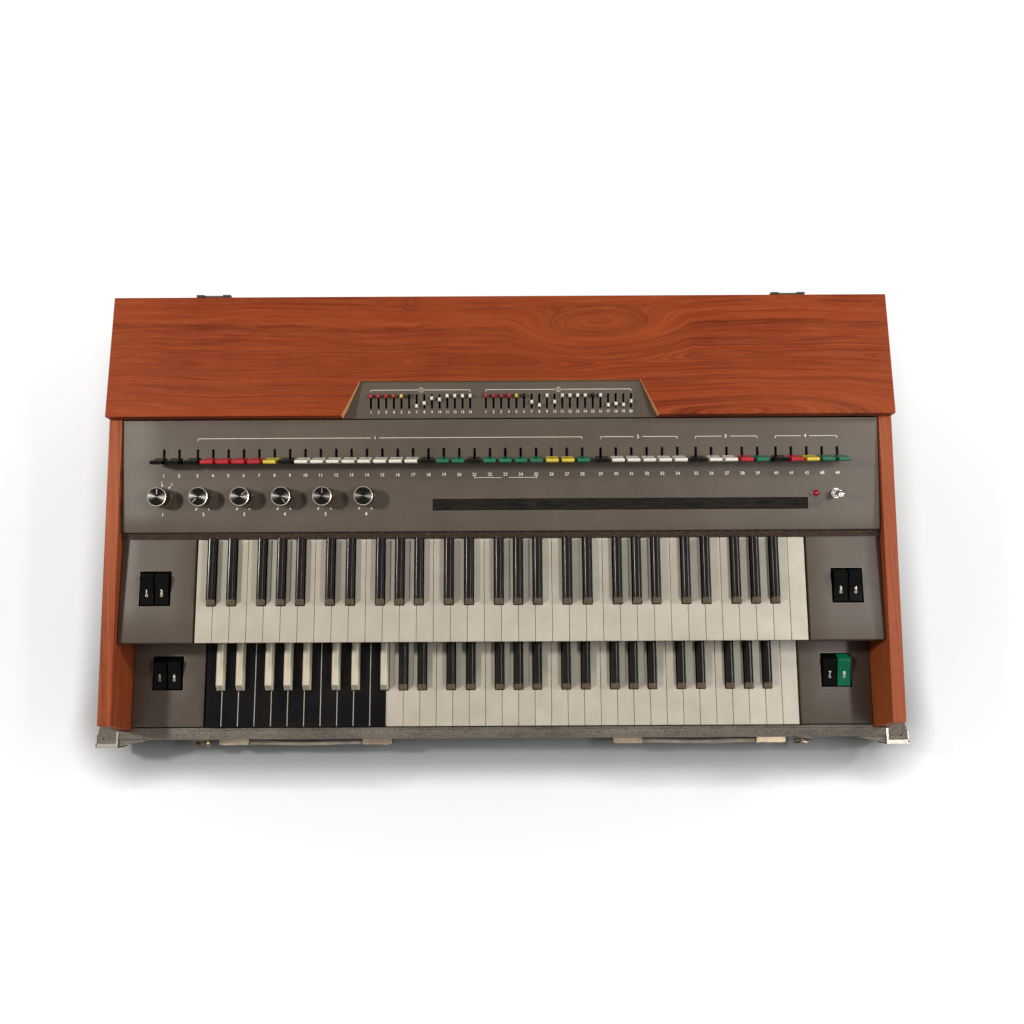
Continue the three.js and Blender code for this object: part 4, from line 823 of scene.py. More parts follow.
# %% Lid
notch = [(-220.5, cover_front), (-196.0, 169.6), (196.0, 169.6), (220.5, cover_front)]
lid_plan = [(-wall_outer, cover_front), *notch, (wall_outer, cover_front)]
lid_plan += [(wall_outer, cover_rear), (-wall_outer, cover_rear)]


def lid_ring(thickness):
    """The lid's outline, as far below its sloping top as the thickness says."""
    slope = 9 / (cover_rear - cover_front)
    return [(x, y, 185 - (y - cover_front) * slope - thickness) for x, y in lid_plan]


bm = bmesh.new()
lid_faces = loft(bm, [lid_ring(cover_thick), lid_ring(0)])
for i in (1, 2, 3):
    lid_faces[i].material_index = 1
make("lid", bm, [lid_wood, edge_wood], nodes=["top_cover"], bevel=1.1, steps=3)

# %% [markdown]
# ## Folded and punched sheet
# The panels are thin steel with slots punched in them and edges folded down. Cutting holes with
# booleans leaves ragged meshes. Here a grid of lines is laid through every slot's edges, the cells
# over a slot are left out, and the outer lines are dropped down to make the folds. A Solidify
# modifier then gives the sheet its thickness.


# %% Punched sheet
def fold(edge, inward, depth, radius=2.2):
    """Lines from a flange's foot over a rounded bend, as (place, drop)."""
    bend = [(edge, depth), (edge, radius)]
    bend += [(edge + inward * radius * 0.3, radius * 0.3), (edge + inward * radius, 0)]
    return bend if inward > 0 else bend[::-1]


def punched_sheet(bm, columns, rows, holes, top=0.0, spread=None):
    """Cells between lines of (place, drop), without those inside a hole (x0, x1, y0, y1)."""
    spread = spread or (lambda x, y: x)
    grid = {}

    def corner(i, j):
        if (i, j) not in grid:
            (x, drop_x), (y, drop_y) = columns[i], rows[j]
            grid[i, j] = bm.verts.new(Vector((spread(x, y), y, top - drop_x - drop_y)) * mm)
        return grid[i, j]

    for i, (left, right) in enumerate(zip(columns, columns[1:])):
        for j, (front, rear) in enumerate(zip(rows, rows[1:])):
            x, y = (left[0] + right[0]) / 2, (front[0] + rear[0]) / 2
            drops = (max(left[1], right[1]), max(front[1], rear[1]))
            in_two_folds = min(drops) > 0 and max(drops) > 3
            if not in_two_folds and not any(x0 < x < x1 and y0 < y < y1 for x0, x1, y0, y1 in holes):
                bm.faces.new([corner(i, j), corner(i + 1, j), corner(i + 1, j + 1), corner(i, j + 1)])


def thicken(piece, thickness, bevel=0.25):
    sheet = piece.modifiers.new("sheet thickness", "SOLIDIFY")
    sheet.thickness = thickness * mm
    sheet.offset = -1
    ease(piece, bevel, 50)


# %% [markdown]
# ## The control panel
# The panel slopes up to the rear and has 44 lever slots in five banks, a recess for the ribbon, and
# holes that knobs, lamp and switch cover. Its side flanges and front edge are folded down.

# %% Control panel
slot_half, slot_v0, slot_v1 = 1.5, 97.3, 116.7
lever_pitch, bank_step = 21.52, 25.7
bank_starts = {
    "vibrato_levers": (-471.04, 2),
    "upper_levers": (-423.82, 26),
    "lower_levers": (139.88, 6),
    "bass_levers": (273.18, 5),
    "glide_levers": (384.96, 5),
}
lever_places = {}
for name, (first, count) in bank_starts.items():
    lever_places[name] = [first + i * lever_pitch for i in range(count)]
lever_xs = [x for places in lever_places.values() for x in places]
slots = [(x - slot_half, x + slot_half, slot_v0, slot_v1) for x in lever_xs]
ribbon = (-95.0, 428.4, 29.6, 45.4)
ribbon_hole = (ribbon[0] - 0.3, ribbon[1] + 0.3, ribbon[2] - 0.3, ribbon[3] + 0.3)
lines = sorted({value for slot in slots for value in slot[:2]} | set(ribbon_hole[:2]))
columns = fold(-panel_half, 1, 22) + [(x, 0) for x in lines] + fold(panel_half, -1, 22)
rows = fold(0, 1, 9) + [(v, 0) for v in (*ribbon_hole[2:], slot_v0, slot_v1, panel_run)]
bm = bmesh.new()
punched_sheet(bm, columns, rows, slots + [ribbon_hole])
panel = ["control_panel"]
thicken(make("control_plate", bm, [panel_paint], nodes=panel, place=control_deck), 2)

bm = bmesh.new()
first_edge = lever_xs[0] - bank_step / 2
bank_edges = [first_edge] + [places[-1] + bank_step / 2 for places in lever_places.values()]
for x in bank_edges:
    block(bm, x - 2.5, x + 2.5, 99, 115, -68, -2.1)
make("bearing_ears", bm, [zinc], bevel=0.5, place=control_deck)
print("slots:", len(slots), "lines in the panel's grid:", len(columns), "by", len(rows))

# %% [markdown]
# ## Tone levers
# Each lever is a flat steel stem that comes up through its slot, with a tall plastic head. A head
# has a hollow rear face and a rounded lip at the top of its front, which catches a line of light. The
# heads of one bank are one piece, because they turn on one shaft in the CAD, and each has its colour.

# %% Levers
colour_rows = {
    "vibrato_levers": "kk",
    "upper_levers": "krrrrykwwwwwwwwkggkggggyyg",
    "lower_levers": "kwwwww",
    "bass_levers": "kwwrg",
    "glide_levers": "krygg",
}
head_half, stem_half, shaft_gap = 8.51, 1.2, 0.3
hollow = [(103.5, 10), (101.6, 14.5), (99.9, 20), (98.5, 26), (97.4, 31.5), (96.8, 33.4)]
head_outline = [(94.3, 9), *hollow, *arc(95.4, 31, 3, 90, 200, 6), (92.9, 26), (93.6, 15)]
stem = [(104.8, -60), (109.2, -60), (102.2, 12), (97.8, 12)]
for (name, places), left, right in zip(lever_places.items(), bank_edges, bank_edges[1:]):
    bm = bmesh.new()
    for x, letter in zip(places, colour_rows[name]):
        prism(bm, head_outline, x - head_half, x + head_half, "x", lever_letters.index(letter))
        prism(bm, stem, x - stem_half, x + stem_half, "x", steel_index)
    rod(bm, 4, left + shaft_gap, right - shaft_gap, 107, -60, 16, "x", steel_index)
    finishes = [*lever_colours.values(), zinc]
    make(name + "_heads", bm, finishes, name, [name], bevel=0.7, steps=3, place=control_deck)
print("levers:", len(lever_xs))

# %% [markdown]
# ## Knobs
# A knob is a turned aluminium cap round a black disc. Its side is spun, its rim is a bright ring,
# and the disc lies a little below the rim with a pale pointer let into it. Side, disc and pointer
# are pieces of their own, because the anisotropic shader needs the disc's own middle.

# %% Knobs
knob_places = [(-472.8 + 56.76 * i, 48.7) for i in range(6)]
pointers = (0, 225, 50, 146, 0, 105)
cap_side = [(0, -8), (3, -8), (3, 0.6), (13.4, 0.6), (14, 1.2), (13.9, 2.6), (13.5, 3.0), (13.4, 20.4)]
cap_side += [(0, 20.4)]
cap_rim = [(0, 20.3), (13.2, 20.3), (13.5, 20.8), (13.3, 21.6), (12.9, 22), (12.5, 21.9), (12.3, 21.5)]
cap_rim += [(12.3, 21.2), (0, 21.2)]
for i, ((x, v), pointer) in enumerate(zip(knob_places, pointers)):
    knob = f"knob_{i + 1}"
    bm = bmesh.new()
    turned(bm, cap_side, x, v, 64)
    turned(bm, cap_rim, x, v, 64, material=1)
    make(knob + "_cap", bm, [spun_side_painted_reflection, knob_rim], knob, [knob], place=control_deck)
    bm = bmesh.new()
    rod(bm, 12.1, 21.1, 21.45, x, v, 64, "z")
    make(knob + "_disc", bm, [knob_disc], knob, place=control_deck)
    bm = bmesh.new()
    prism(bm, rounded_rectangle(-0.45, 0.45, 3.6, 10.8, 0.4), 21.3, 21.62, "z")
    turn = Matrix.Translation((x * mm, v * mm, 0)) @ Matrix.Rotation(math.radians(-pointer), 4, "Z")
    make(knob + "_pointer", bm, [spun_pale], knob, place=control_deck @ turn)

# %% [markdown]
# ## Ribbon, lamp and power switch
# The woven ribbon lies a little below the panel, in its recess. The lamp is a glossy red dome in a
# steel bezel. The switch is a bat-handled toggle: its lever leans to the player out of a round bush,
# which a six-sided nut and a washer clamp to the panel.

# %% Ribbon, lamp and switch
bm = bmesh.new()
prism(bm, rounded_rectangle(*ribbon, 1.0), -6, -0.8, "z")
make("ribbon", bm, [ribbon_weave], nodes=["ribbon_strip"], bevel=0.3, place=control_deck)

lamp_x, switch_x, lamp_v = 439.2, 468.0, 51.0
bm = bmesh.new()
turns = [math.radians(turn) for turn in range(0, 90, 10)]
dome = [(5.2 * math.cos(turn), 1.2 + 4.2 * math.sin(turn)) for turn in turns]
turned(bm, [(0, -14), (5.2, -14), *dome, (0, 5.4)], lamp_x, lamp_v, 40)
make("lamp_dome", bm, [lamp_red], nodes=["pilot_lamp"], place=control_deck)
bm = bmesh.new()
turned(bm, [(5.25, 0.1), (7, 0.1), (6.9, 1.1), (6.2, 1.7), (5.3, 1.6)], lamp_x, lamp_v, 40)
make("lamp_bezel", bm, [hinge_metal], place=control_deck)

bm = bmesh.new()
rod(bm, 7, 0.0, 0.5, switch_x, lamp_v, 32, "z")
prism(bm, arc(switch_x, lamp_v, 6.8, 0, 300, 5), 0.5, 2.5, "z")
bush = [(5.0, 2.4), (5.6, 2.4)]
for turn in range(6):
    bush += [(5.6, 2.7 + turn * 0.75), (5.2, 3.05 + turn * 0.75)]
bush += [(5.4, 7.6), (5.0, 8.0), (4.6, 8.0), (4.5, 7.4), (4.3, 2.4)]
turned(bm, bush, switch_x, lamp_v, 32)
make("switch_nut", bm, [chrome], bevel=0.25, place=control_deck)

bm = bmesh.new()
bat = [(0, -3.9), (2.6, -2.9), (3.7, -1.0), (3.7, 1.2), (2.2, 3.4), (1.7, 4.6), (1.9, 8), (2.7, 12)]
bat += [(3.9, 16), (4.6, 18.2), (4.5, 19.6), (3.7, 20.9), (2.4, 21.7), (1.2, 22), (0, 22)]
turned(bm, bat, 0, 0, 32)
lean = Matrix.Translation((switch_x * mm, lamp_v * mm, 2 * mm)) @ Matrix.Rotation(math.pi / 14, 4, "X")
make("switch_bat", bm, [chrome], "power_switch", ["power_switch"], place=control_deck @ lean)

# %% [markdown]
# ## Preset panel
# In the lid's notch lies a small panel with two rows of sliders, punched like the large one. Its
# outline widens to the front, so the grid's outer lines are spread with the depth.

# %% Preset panel and sliders
slider_rows = {1: [-181.5 + 10.7 * i for i in range(14)], 2: [-20.3 + 10.7 * i for i in range(20)]}
slider_v0, slider_v1 = 13.6, 33.6
slider_slots = [(x - 1.55, x + 1.55, slider_v0, slider_v1) for row in slider_rows.values() for x in row]
preset_depth, preset_front_half, preset_rear_half = 50.43, 219.5, 195.6


def preset_edge(x, v):
    if abs(x) < 190:
        return x
    return math.copysign(preset_front_half + (preset_rear_half - preset_front_half) * v / preset_depth, x)


lines = sorted({value for slot in slider_slots for value in slot[:2]})
columns = [(x, 0) for x in (-200, *lines, 200)]
rows = [(v, 0) for v in (0, slider_v0, slider_v1, preset_depth)]
bm = bmesh.new()
punched_sheet(bm, columns, rows, slider_slots, spread=preset_edge)
panel = ["preset_panel"]
thicken(make("preset_plate", bm, [panel_paint], nodes=panel, place=preset_deck), 2)
bm = bmesh.new()
web = [(0.2, -2.1), (0.2, -24.3), (50.2, -24.3), (50.2, -20), (40.4, -2.1)]
for x in (-190.25, 191.75):
    prism(bm, web, x - 1, x + 1, "x")
block(bm, -190.2, 191.7, 0.2, 50.2, -24.3, -22.3)
make("slider_guide", bm, [slot_dark], bevel=0.3, place=preset_deck)

slider_colours = {1: "rrrrykwwwwwwww", 2: "rrrrykwwwwwwwwkwwwww"}
drawn = {1: {6: 0.89, 7: 0.63, 8: 0.2, 9: 0.31}}
drawn[2] = {6: 0.57, 7: 0.86, 9: 0.57, 16: 0.86, 17: 0.76, 18: 0.85, 19: 0.54}
slider_home, slider_travel = 31.1, 15.7
for row, xs in slider_rows.items():
    for out in (False, True):
        bm = bmesh.new()
        chosen = [i for i in range(len(xs)) if (i in drawn[row]) == out]
        bar_v = 0.8 if out else 49.0
        for i in chosen:
            x, v = xs[i], slider_home - drawn[row].get(i, 0) * slider_travel
            cap_rings = []
            for inset, w in ((0.5, 0.6), (0.1, 1.4), (0.2, 3.2), (0.7, 5.6), (1.2, 6.6), (1.8, 7.0)):
                half_x, half_v = 2.2 - inset, 3 - inset
                outline = rounded_rectangle(x - half_x, x + half_x, v - half_v, v + half_v, 0.35, 3)
                cap_rings.append(layer(outline, w))
            loft(bm, cap_rings, lever_letters.index(slider_colours[row][i]))
            block(bm, x - 0.8, x + 0.8, v - 1.4, v + 1.4, -20, 1, steel_index)
            block(bm, x - 0.8, x + 0.8, *sorted((v, bar_v + 2)), -22, -20, steel_index)
        block(bm, xs[chosen[0]] - 1.6, xs[chosen[-1]] + 1.6, bar_v, bar_v + 4, -22, -20, steel_index)
        carriage = f"preset_{row}_sliders_" + ("drawn" if out else "in")
        finishes = [*lever_colours.values(), slot_dark]
        make(carriage + "_caps", bm, finishes, carriage, [carriage], place=preset_deck)
print("sliders:", len(slider_slots))

# %% [markdown]
# ## Cheeks and rockers
# Beside the keys lie folded steel cheeks with a well for two rocker tablets. They are punched sheet
# again: the well is a hole in the grid with a thin trim, and its walls are a small dark box below.
# A rocker is glossy plastic with a ridge near its rear end, so it presses in at the front or the rear.
# It stands on two legs, one on either side of the pin that it turns on.

# %% Cheeks with their wells
cheek_rows = {
    "upper": {"y0": -191.0, "y1": -45.3, "top": 145.0, "skirt": 66.0, "well": -116.0},
    "lower": {"y0": -308.0, "y1": -176.0, "top": 76.0, "skirt": 54.0, "well": -232.0},
}
cheek_inner, cheek_outer, well_x = 426.0, 529.7, 480.0
well_half_x, well_half_y, well_depth, wall = 22.25, 24.5, 22, 1.5
for row, size in cheek_rows.items():
    for side, hand in hands:
        x0, x1 = side * well_x - well_half_x, side * well_x + well_half_x
        y0, y1 = size["well"] - well_half_y, size["well"] + well_half_y
        well_lines = [(well_x - well_half_x, 0), (well_x + well_half_x, 0)]
        columns = fold(cheek_inner, 1, 38) + well_lines + fold(cheek_outer, -1, 38)
        columns = columns if side > 0 else [(-x, drop) for x, drop in reversed(columns)]
        rows = fold(size["y0"], 1, size["skirt"]) + [(y0, 0), (y1, 0), (size["y1"], 0)]
        bm = bmesh.new()
        punched_sheet(bm, columns, rows, [(x0, x1, y0, y1)], top=size["top"])
        cheek = f"{row}_cheek_{hand}"
        plate = make(cheek + "_plate", bm, [cheek_paint], nodes=[cheek])
        thicken(plate, 2, 0.3)

        bm = bmesh.new()
        floor = size["top"] - well_depth
        walls = [(x0 - wall, x0, y0 - wall, y1 + wall), (x1, x1 + wall, y0 - wall, y1 + wall)]
        walls += [(x0 - 0.2, x1 + 0.2, y0 - wall, y0), (x0 - 0.2, x1 + 0.2, y1, y1 + wall)]
        for box in walls:
            block(bm, *box, floor, size["top"] - 0.6)
        block(bm, x0 - wall, x1 + wall, y0 - wall, y1 + wall, floor - wall, floor)
        rod(bm, 1.8, x0 - 0.7, x1 + 0.7, size["well"], size["top"] - 6, 20)
        make(cheek + "_well", bm, [well_paint], bevel=0.3)

        bm = bmesh.new()
        strips = [(x0 - 0.7, x1 + 0.7, y0 - 0.7, y0 + 0.2), (x0 - 0.7, x1 + 0.7, y1 - 0.2, y1 + 0.7)]
        strips += [(x0 - 0.7, x0 + 0.2, y0, y1), (x1 - 0.2, x1 + 0.7, y0, y1)]
        for box in strips:
            block(bm, *box, size["top"] - 1, size["top"] + 0.4)
        make(cheek + "_trim", bm, [hinge_metal], bevel=0.2)


# %% Rocker tablets
def rockers():
    """Each rocker's name, the sizes of its row, and its left and right ends."""
    for row, size in cheek_rows.items():
        for side, hand in hands:
            for letter, left in (("a", -19.85), ("b", 0.8)):
                x0 = side * well_x + left
                yield f"{row}_rocker_{hand}_{letter}", size, x0, x0 + 19.05


for rocker, size, x0, x1 in rockers():
    green = rocker == "lower_rocker_right_b"
    rocker_finish = rocker_green if green else rocker_black
    y, top = size["well"], size["top"]
    ridge = y + 22.9 * 0.64
    outline = [(y - 22.9, top - 3), (y + 22.9, top - 3), (y + 22.9, top + 1.5), (ridge + 1.2, top + 8.5)]
    outline += [(ridge, top + 9), (ridge - 1.4, top + 8.7), (y, top + 5.2), (y - 12, top + 2.9)]
    bm = bmesh.new()
    prism(bm, outline + [(y - 22.9, top + 1.5)], x0, x1, "x")
    make(rocker + "_tablet", bm, [rocker_finish], rocker, [rocker], bevel=1.6, steps=4)
    bm = bmesh.new()
    for leg in (y - 4.4, y + 2.8):
        block(bm, x0 + 1, x1 - 1, leg, leg + 1.6, top - 11, top - 2.5)
    make(rocker + "_hub", bm, [rocker_finish], rocker)

# %% [markdown]
# ## Keys
# A natural is a moulded cap with a plan outline: a broad head in front and a tail between the
# sharps. One cap could be copied along, but each of the seven in an octave has its own notches. So
# the notches come from one formula, which shares each group's width evenly between tails and sharps,
# and every cap's outline is cut from it. Thin steel levers run on to the rear under the panel.

# %% The sharps' slots
slot_width = 13.5
sharp_slots = []
for octave in range(5):
    for start, naturals in ((0, 3), (3, 4)):
        tail = (naturals * key_pitch - (naturals - 1) * slot_width) / naturals
        for k in range(1, naturals):
            x0 = key_left + (octave * 7 + start) * key_pitch + k * tail + (k - 1) * slot_width
            sharp_slots.append((x0, x0 + slot_width, octave * 7 + start + k))
print("sharps on a keyboard:", len(sharp_slots))

# %% Caps and levers of a keyboard
pale_strip = 0.75
cap_bottom, lip_bottom = 12, 16


def natural_cap(bm, index, front, top, pale_edge):
    x0 = key_left + index * key_pitch + key_gap / 2
    x1 = x0 + key_pitch - key_gap
    left = next((slot[1] for slot in sharp_slots if slot[2] == index), x0)
    right = next((slot[0] for slot in sharp_slots if slot[2] == index + 1), x1)
    head, rear = front + 50, front + 143
    outline = [(x0, front), (x1, front), (x1, head)]
    outline += [(right, head), (right, rear)] if right < x1 else [(x1, rear)]
    outline += [(left, rear), (left, head), (x0, head)] if left > x0 else [(x0, rear)]
    edge = x1 - pale_strip * pale_edge
    narrow = [(min(x, edge), y) for x, y in outline]
    prism(bm, narrow, top - cap_bottom, top, "z")
    block(bm, x0, edge, front, front + 5, top - lip_bottom, top - cap_bottom)
    if pale_edge:
        end = rear if right >= x1 else head
        block(bm, x1 - 0.95, x1 + 0.3, front + 0.6, end, top - 11, top - 0.35, 2)
    return (left + right) / 2


def sharp_cap(bm, slot, front, top):
    """Rings along the key: the nose, the top of its sloping front, and the rear. The top is crowned."""
    middle = (slot[0] + slot[1]) / 2
    right = [(5.75, -12), (5.75, 0.8), (5.1, 9.2), (4.7, 10.4), (3.8, 11.2), (2.2, 11.8)]
    profile = right + [(0, 12)] + [(-x, z) for x, z in reversed(right)]
    nose = [(middle + x, front + 51.2, top + min(z, 0.8)) for x, z in profile]
    full = [[(middle + x, front + y, top + z) for x, z in profile] for y in (58.6, 143.3)]
    faces = loft(bm, [nose, *full])
    # The sloping front and the nose's end take finish 3, which on black sharps is a painted highlight.
    sloping, front_end = faces[1:11], faces[2 * len(profile)]
    for face in (*sloping, front_end):
        face.material_index = 3
    return middle


# %% Keyboards
def key_set(name, keys, indices, level, cap_finish, sharps=False, pale_edge=0):
    bm = bmesh.new()
    front, top = keys["front"], keys["top"]
    steel_z = top - 11.8 + 3 * level
    middles = []
    for index in indices:
        x = sharp_cap(bm, index, front, top) if sharps else natural_cap(bm, index, front, top, pale_edge)
        block(bm, x - 2.6, x + 2.6, front + 142, front + 212, steel_z, steel_z + 2.2, 1)
        middles.append(x)
    block(bm, middles[0], middles[-1], front + 207, front + 217, steel_z, steel_z + 2.2, 1)
    finishes = [cap_finish, zinc, pale_side, sharp_nose_painted_light if cap_finish == black_sharp else cap_finish]
    make(name + "_caps", bm, finishes, name, [name], bevel=1.1 if sharps else 0.7, steps=3)


ivory_slot, black_slot = "ivory_plastic", "black_plastic"
keyboards = (
    ("upper", upper_keys, 0, 35, ivory, black_sharp, 0, ivory_slot, black_slot),
    ("lower", lower_keys, 11, 35, ivory, black_sharp, 0, ivory_slot, black_slot),
    ("bass", lower_keys, 0, 10, black_natural, ivory_sharp, 1, black_slot, ivory_slot),
)
for name, keys, first, last, cap, sharp, pale, cap_slot, sharp_slot in keyboards:
    for level, parity in enumerate(("odd", "even")):
        indices = range(first + level, last + 1, 2)
        key_set(f"{name}_naturals_{parity}", keys, indices, level, cap, pale_edge=pale)
    reach = last + 1 if name == "bass" else last
    own = [slot for slot in sharp_slots if first < slot[2] <= reach]
    key_set(name + "_sharps", keys, own, 2, sharp, sharps=True)

# %% [markdown]
# A strip of brown felt closes the gap between the upper keys and the panel. Felt's edge is soft and
# uneven, so the strip is cut into short lengths along its run and its top is lifted a little here and
# there by a sum of sines.

# %% Felt strip
bm = bmesh.new()
rings = []
felt_half, felt_steps = 529.5, 240
for i in range(felt_steps + 1):
    x = felt_half * (2 * i / felt_steps - 1)
    lift = 0.35 * math.sin(x * 0.21) + 0.25 * math.sin(x * 0.73 + 1)
    section = [(-47.3, 142.5), (-39.3, 142.5), (-39.3, 148.2 + lift), (-40.3, 148.7 + lift)]
    section += [(-46, 148.6 + lift), (-47.3, 147.6 + lift)]
    rings.append([(x, y, min(z, 149)) for y, z in section])
loft(bm, rings)
make("felt_strip", bm, [felt], nodes=["key_slip"])

# %% [markdown]
# ## Print
# The panels carry thin cream brackets, ticks and plain numbers. A texture would need a picture, so
# the print is a skin of small flat shapes, a tenth of a millimetre thick. The numbers are Blender's
# own text, turned into mesh.


# %% Lines and numbers
def stroke(bm, points, width=0.7, height=0.1, material=0):
    """A flat line of even width through points."""
    half = width / 2
    for (x0, v0), (x1, v1) in zip(points, points[1:]):
        length = math.hypot(x1 - x0, v1 - v0)
        p, q = (v0 - v1) / length * half, (x1 - x0) / length * half
        outline = [(x0 + p, v0 + q), (x0 - p, v0 - q), (x1 - p, v1 - q), (x1 + p, v1 + q)]
        prism(bm, outline, 0.02, height, "z", material)


def number(bm, value, x, v, size, height=0.1):
    curve = bpy.data.curves.new("number", "FONT")
    curve.body = str(value)
    curve.size = size * mm
    curve.align_x, curve.align_y = "CENTER", "CENTER"
    curve.extrude = height * mm / 2
    curve.resolution_u = 2
    curve.offset = size * 0.02 * mm
    holder = bpy.data.objects.new("number", curve)
    mesh = holder.to_mesh()
    mesh.transform(Matrix.Translation((x * mm, v * mm, height * mm / 2)))
    bm.from_mesh(mesh)
    holder.to_mesh_clear()
    bpy.data.objects.remove(holder)
    bpy.data.curves.remove(curve)


def bracket(bm, x0, x1, v, gap, half_gap=6.0, drop=3.2):
    """A line over a bank with down-turned ends, broken by a gap for its number."""
    for end, x in ((1, x0), (-1, x1)):
        bend = [(x, v - drop), (x, v - 1.2), (x + end * 0.4, v - 0.4), (x + end * 1.2, v)]
        line = bend + [(gap - end * half_gap, v)]
        stroke(bm, line if end > 0 else line[::-1])


# %% Print on the control panel
bm = bmesh.new()
bracket_v = 131.9
bank_gaps = {"upper_levers": -175.9, "lower_levers": 192.7, "bass_levers": 315.4, "glide_levers": 426.8}
for order, (name, gap) in enumerate(bank_gaps.items()):
    places = lever_places[name]
    bracket(bm, places[0], places[-1], bracket_v, gap)
    number(bm, order + 1, gap, bracket_v, 6.5)
for count, x in enumerate(lever_xs):
    number(bm, count + 1, x, 79.6, 6.2)
bracket(bm, -36.2, 50.2, 75.2, 6.3, 5.0, -2.4)
for i, (x, v) in enumerate(knob_places):
    for turn in (-151, 151) if i else (0, 34):
        p, q = math.sin(math.radians(turn)), math.cos(math.radians(turn))
        stroke(bm, [(x + 16.4 * p, v + 16.4 * q), (x + 19.6 * p, v + 19.6 * q)], 1.6)
    number(bm, i + 1, x + 1.5, 25.4, 6.6)
number(bm, 1, -473.5, 70.4, 4.4)
number(bm, 2, -459.5, 67.6, 4.4)
# Dark strokes along each slot's sides and rear are painted shade, which makes the dark slots look wider.
for x0, x1, v0, v1 in slots:
    left, right, rear = x0 - 0.3, x1 + 0.3, v1 + 0.3
    for points in ([(left, v0), (left, v1)], [(right, v0), (right, v1)], [(x0, rear), (x1, rear)]):
        stroke(bm, points, 0.6, 0.06, 1)
make("panel_print_and_painted_slot_shade", bm, [print_cream, well_paint], place=control_deck)

# %% Print on the preset panel
bm = bmesh.new()
for row, xs in slider_rows.items():
    middle = (xs[0] + xs[-1]) / 2 + (1 if row == 1 else 0)
    bracket(bm, xs[0], xs[-1], 39.6, middle, 4.2, 2.6)
    number(bm, row, middle, 39.6, 4.6)
    stroke(bm, arc(middle, 39.6, 3.1, 0, 360, 20), 0.45)
    for i, x in enumerate(xs):
        number(bm, i + 1, x, 8.6, 5.0)
make("preset_print", bm, [print_cream], place=preset_deck)

# %% Numbers on the rockers
for i, (rocker, size, x0, x1) in enumerate(rockers()):
    bm = bmesh.new()
    number(bm, i + 1, 0, 1.4, 7.6, 0.12)
    stroke(bm, arc(0, -3.6, 1.5, 0, 360, 16), 0.6, 0.12)
    at = Matrix.Translation(Vector(((x0 + x1) / 2, size["well"] - 6, size["top"] + 4.07)) * mm)
    slope = Matrix.Rotation(math.atan2(2.3, 12), 4, "X")
    make(rocker + "_number", bm, [print_cream], rocker, place=at @ slope)

# %% [markdown]
# ## Inside and behind
# The key frames, the tone board, the transformer and the rear boards keep their CAD shapes, which
# are right as they are. They only get finishes, and a small bevel where light reaches them.

# %% Finishes of the kept CAD nodes
kept = {
    "upper_key_frame": slot_dark,
    "lower_key_frame": bed_wood,
    "rear_panel": board_wood,
    "jack_panel": guard_metal,
    "tone_board": circuit,
    "power_supply": zinc,
}
for name, material in kept.items():
    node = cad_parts[name]
    node.data.materials.clear()
    node.data.materials.append(material)
    ease(node, 0.4, 40, segments=1, harden=False)
print("kept CAD nodes:", sorted(kept))

# %% [markdown]
# ## Floor and light
# The photograph was taken on a white sweep, with the organ lit hard from the left and softly from
# the right. Turning the lamps up until the floor is white would bleach the keys. So the floor adds
# its own white only for rays from the camera and from reflections, and still takes the shadow.


# %% Floor
def seen_directly(tree):
    """One for rays from the camera, from reflections and through clear pieces, and zero for others."""
    rays = add(tree, "LightPath").outputs
    indirect = maths(tree, "MAXIMUM", rays["Is Glossy Ray"], rays["Is Transmission Ray"])
    return maths(tree, "MAXIMUM", rays["Is Camera Ray"], indirect)


floor_white, tree, shader, position = finish(
    "floor_white", Roughness=0.9, Base_Color=(0.3, 0.3, 0.3, 1), Emission_Color=(1, 1, 1, 1)
)
# The floor's own white is dimmed in front of the organ by ambient occlusion, a painted soft shadow,
open_sky = add(tree, "AmbientOcclusion", named={"Distance": 0.08}, samples=8).outputs["AO"]
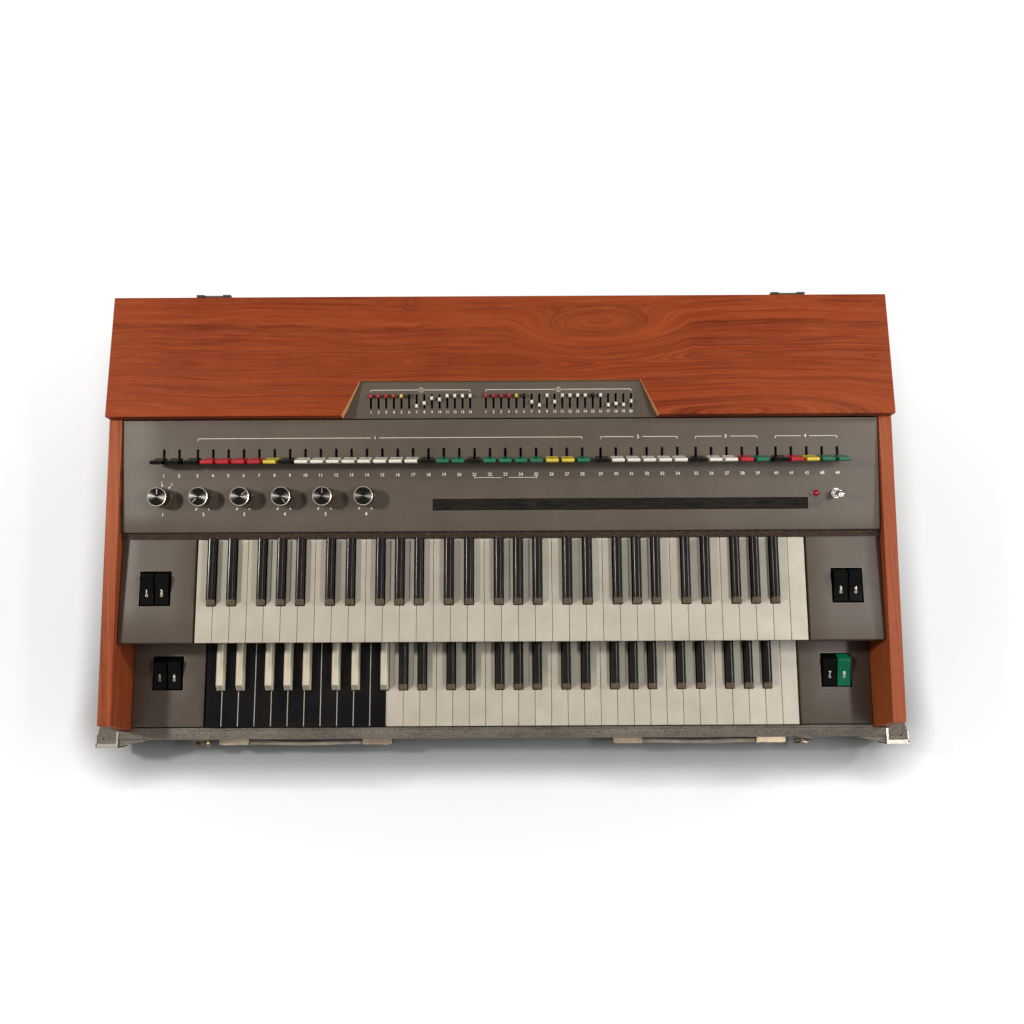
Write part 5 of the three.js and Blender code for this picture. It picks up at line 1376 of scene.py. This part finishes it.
# and further on it fades from full white far out to 0.64 close to the organ, painted shade round it.
dark = maths(tree, "SUBTRACT", 1.0, maths(tree, "POWER", open_sky, 7.0))
painted_shadow_in_front = mask(tree, part_of(tree, position, "Y"), 0.36, -0.33, dark)
outside_painted_shadow = maths(tree, "SUBTRACT", 1.0, painted_shadow_in_front)
shifted = vectors(tree, "MULTIPLY_ADD", position, (0.5, 1.15, 1.0), (0.0, 0.09, 0.0))
reach = add(tree, "VectorMath", shifted, operation="LENGTH").outputs["Value"]
glow_with_painted_shade = times(tree, add(tree, "MapRange", reach, 0.36, 0.9, 0.64, 1.0).outputs[0], outside_painted_shadow)
tree.links.new(times(tree, seen_directly(tree), glow_with_painted_shade), shader.inputs["Emission Strength"])
bm = bmesh.new()
block(bm, -30000, 30000, -30000, 30000, -20, 0)
floor_mesh = bpy.data.meshes.new("floor")
bm.to_mesh(floor_mesh)
bm.free()
floor_mesh.materials.append(floor_white)
floor = bpy.data.objects.new("floor", floor_mesh)
bpy.context.scene.collection.objects.link(floor)

# %% World
world = bpy.data.worlds.new("studio")
bpy.context.scene.world = world
world.use_nodes = True
tree = world.node_tree
background = tree.nodes["Background"]
background.inputs["Color"].default_value = (1, 1, 1, 1)
strength = maths(tree, "MULTIPLY_ADD", seen_directly(tree), 0.92, 0.08)
tree.links.new(strength, background.inputs["Strength"])


# %% Lamps
def soft_box(name, place, aim, width, power, colour=(1, 1, 1), depth=None):
    lamp = bpy.data.lights.new(name, "AREA")
    lamp.shape = "ELLIPSE"
    lamp.size = width
    lamp.size_y = depth or width
    lamp.energy = power
    lamp.color = colour
    holder = bpy.data.objects.new(name, lamp)
    bpy.context.scene.collection.objects.link(holder)
    holder.location = place
    holder.rotation_euler = (Vector(aim) - Vector(place)).to_track_quat("-Z", "Y").to_euler()


soft_box("key_light", (-1.6, 0.17, 1.65), (-0.2, 0, 0.1), 0.2, 27, (1, 0.97, 0.93))
soft_box("right_light", (1.18, -0.15, 1.68), (0.5, -0.1, 0.1), 0.9, 16, depth=0.12)
soft_box("low_light", (2.3, 0.6, 1.35), (0.2, -0.1, 0.1), 0.3, 27)
soft_box("left_light", (-2.5, 0.8, 1.7), (-0.2, -0.1, 0.1), 0.8, 4)

# %% [markdown]
# ## The view
# The colours are shown as they are, with no film curve.

# %% Finish
bpy.context.scene.view_settings.view_transform = "Standard"
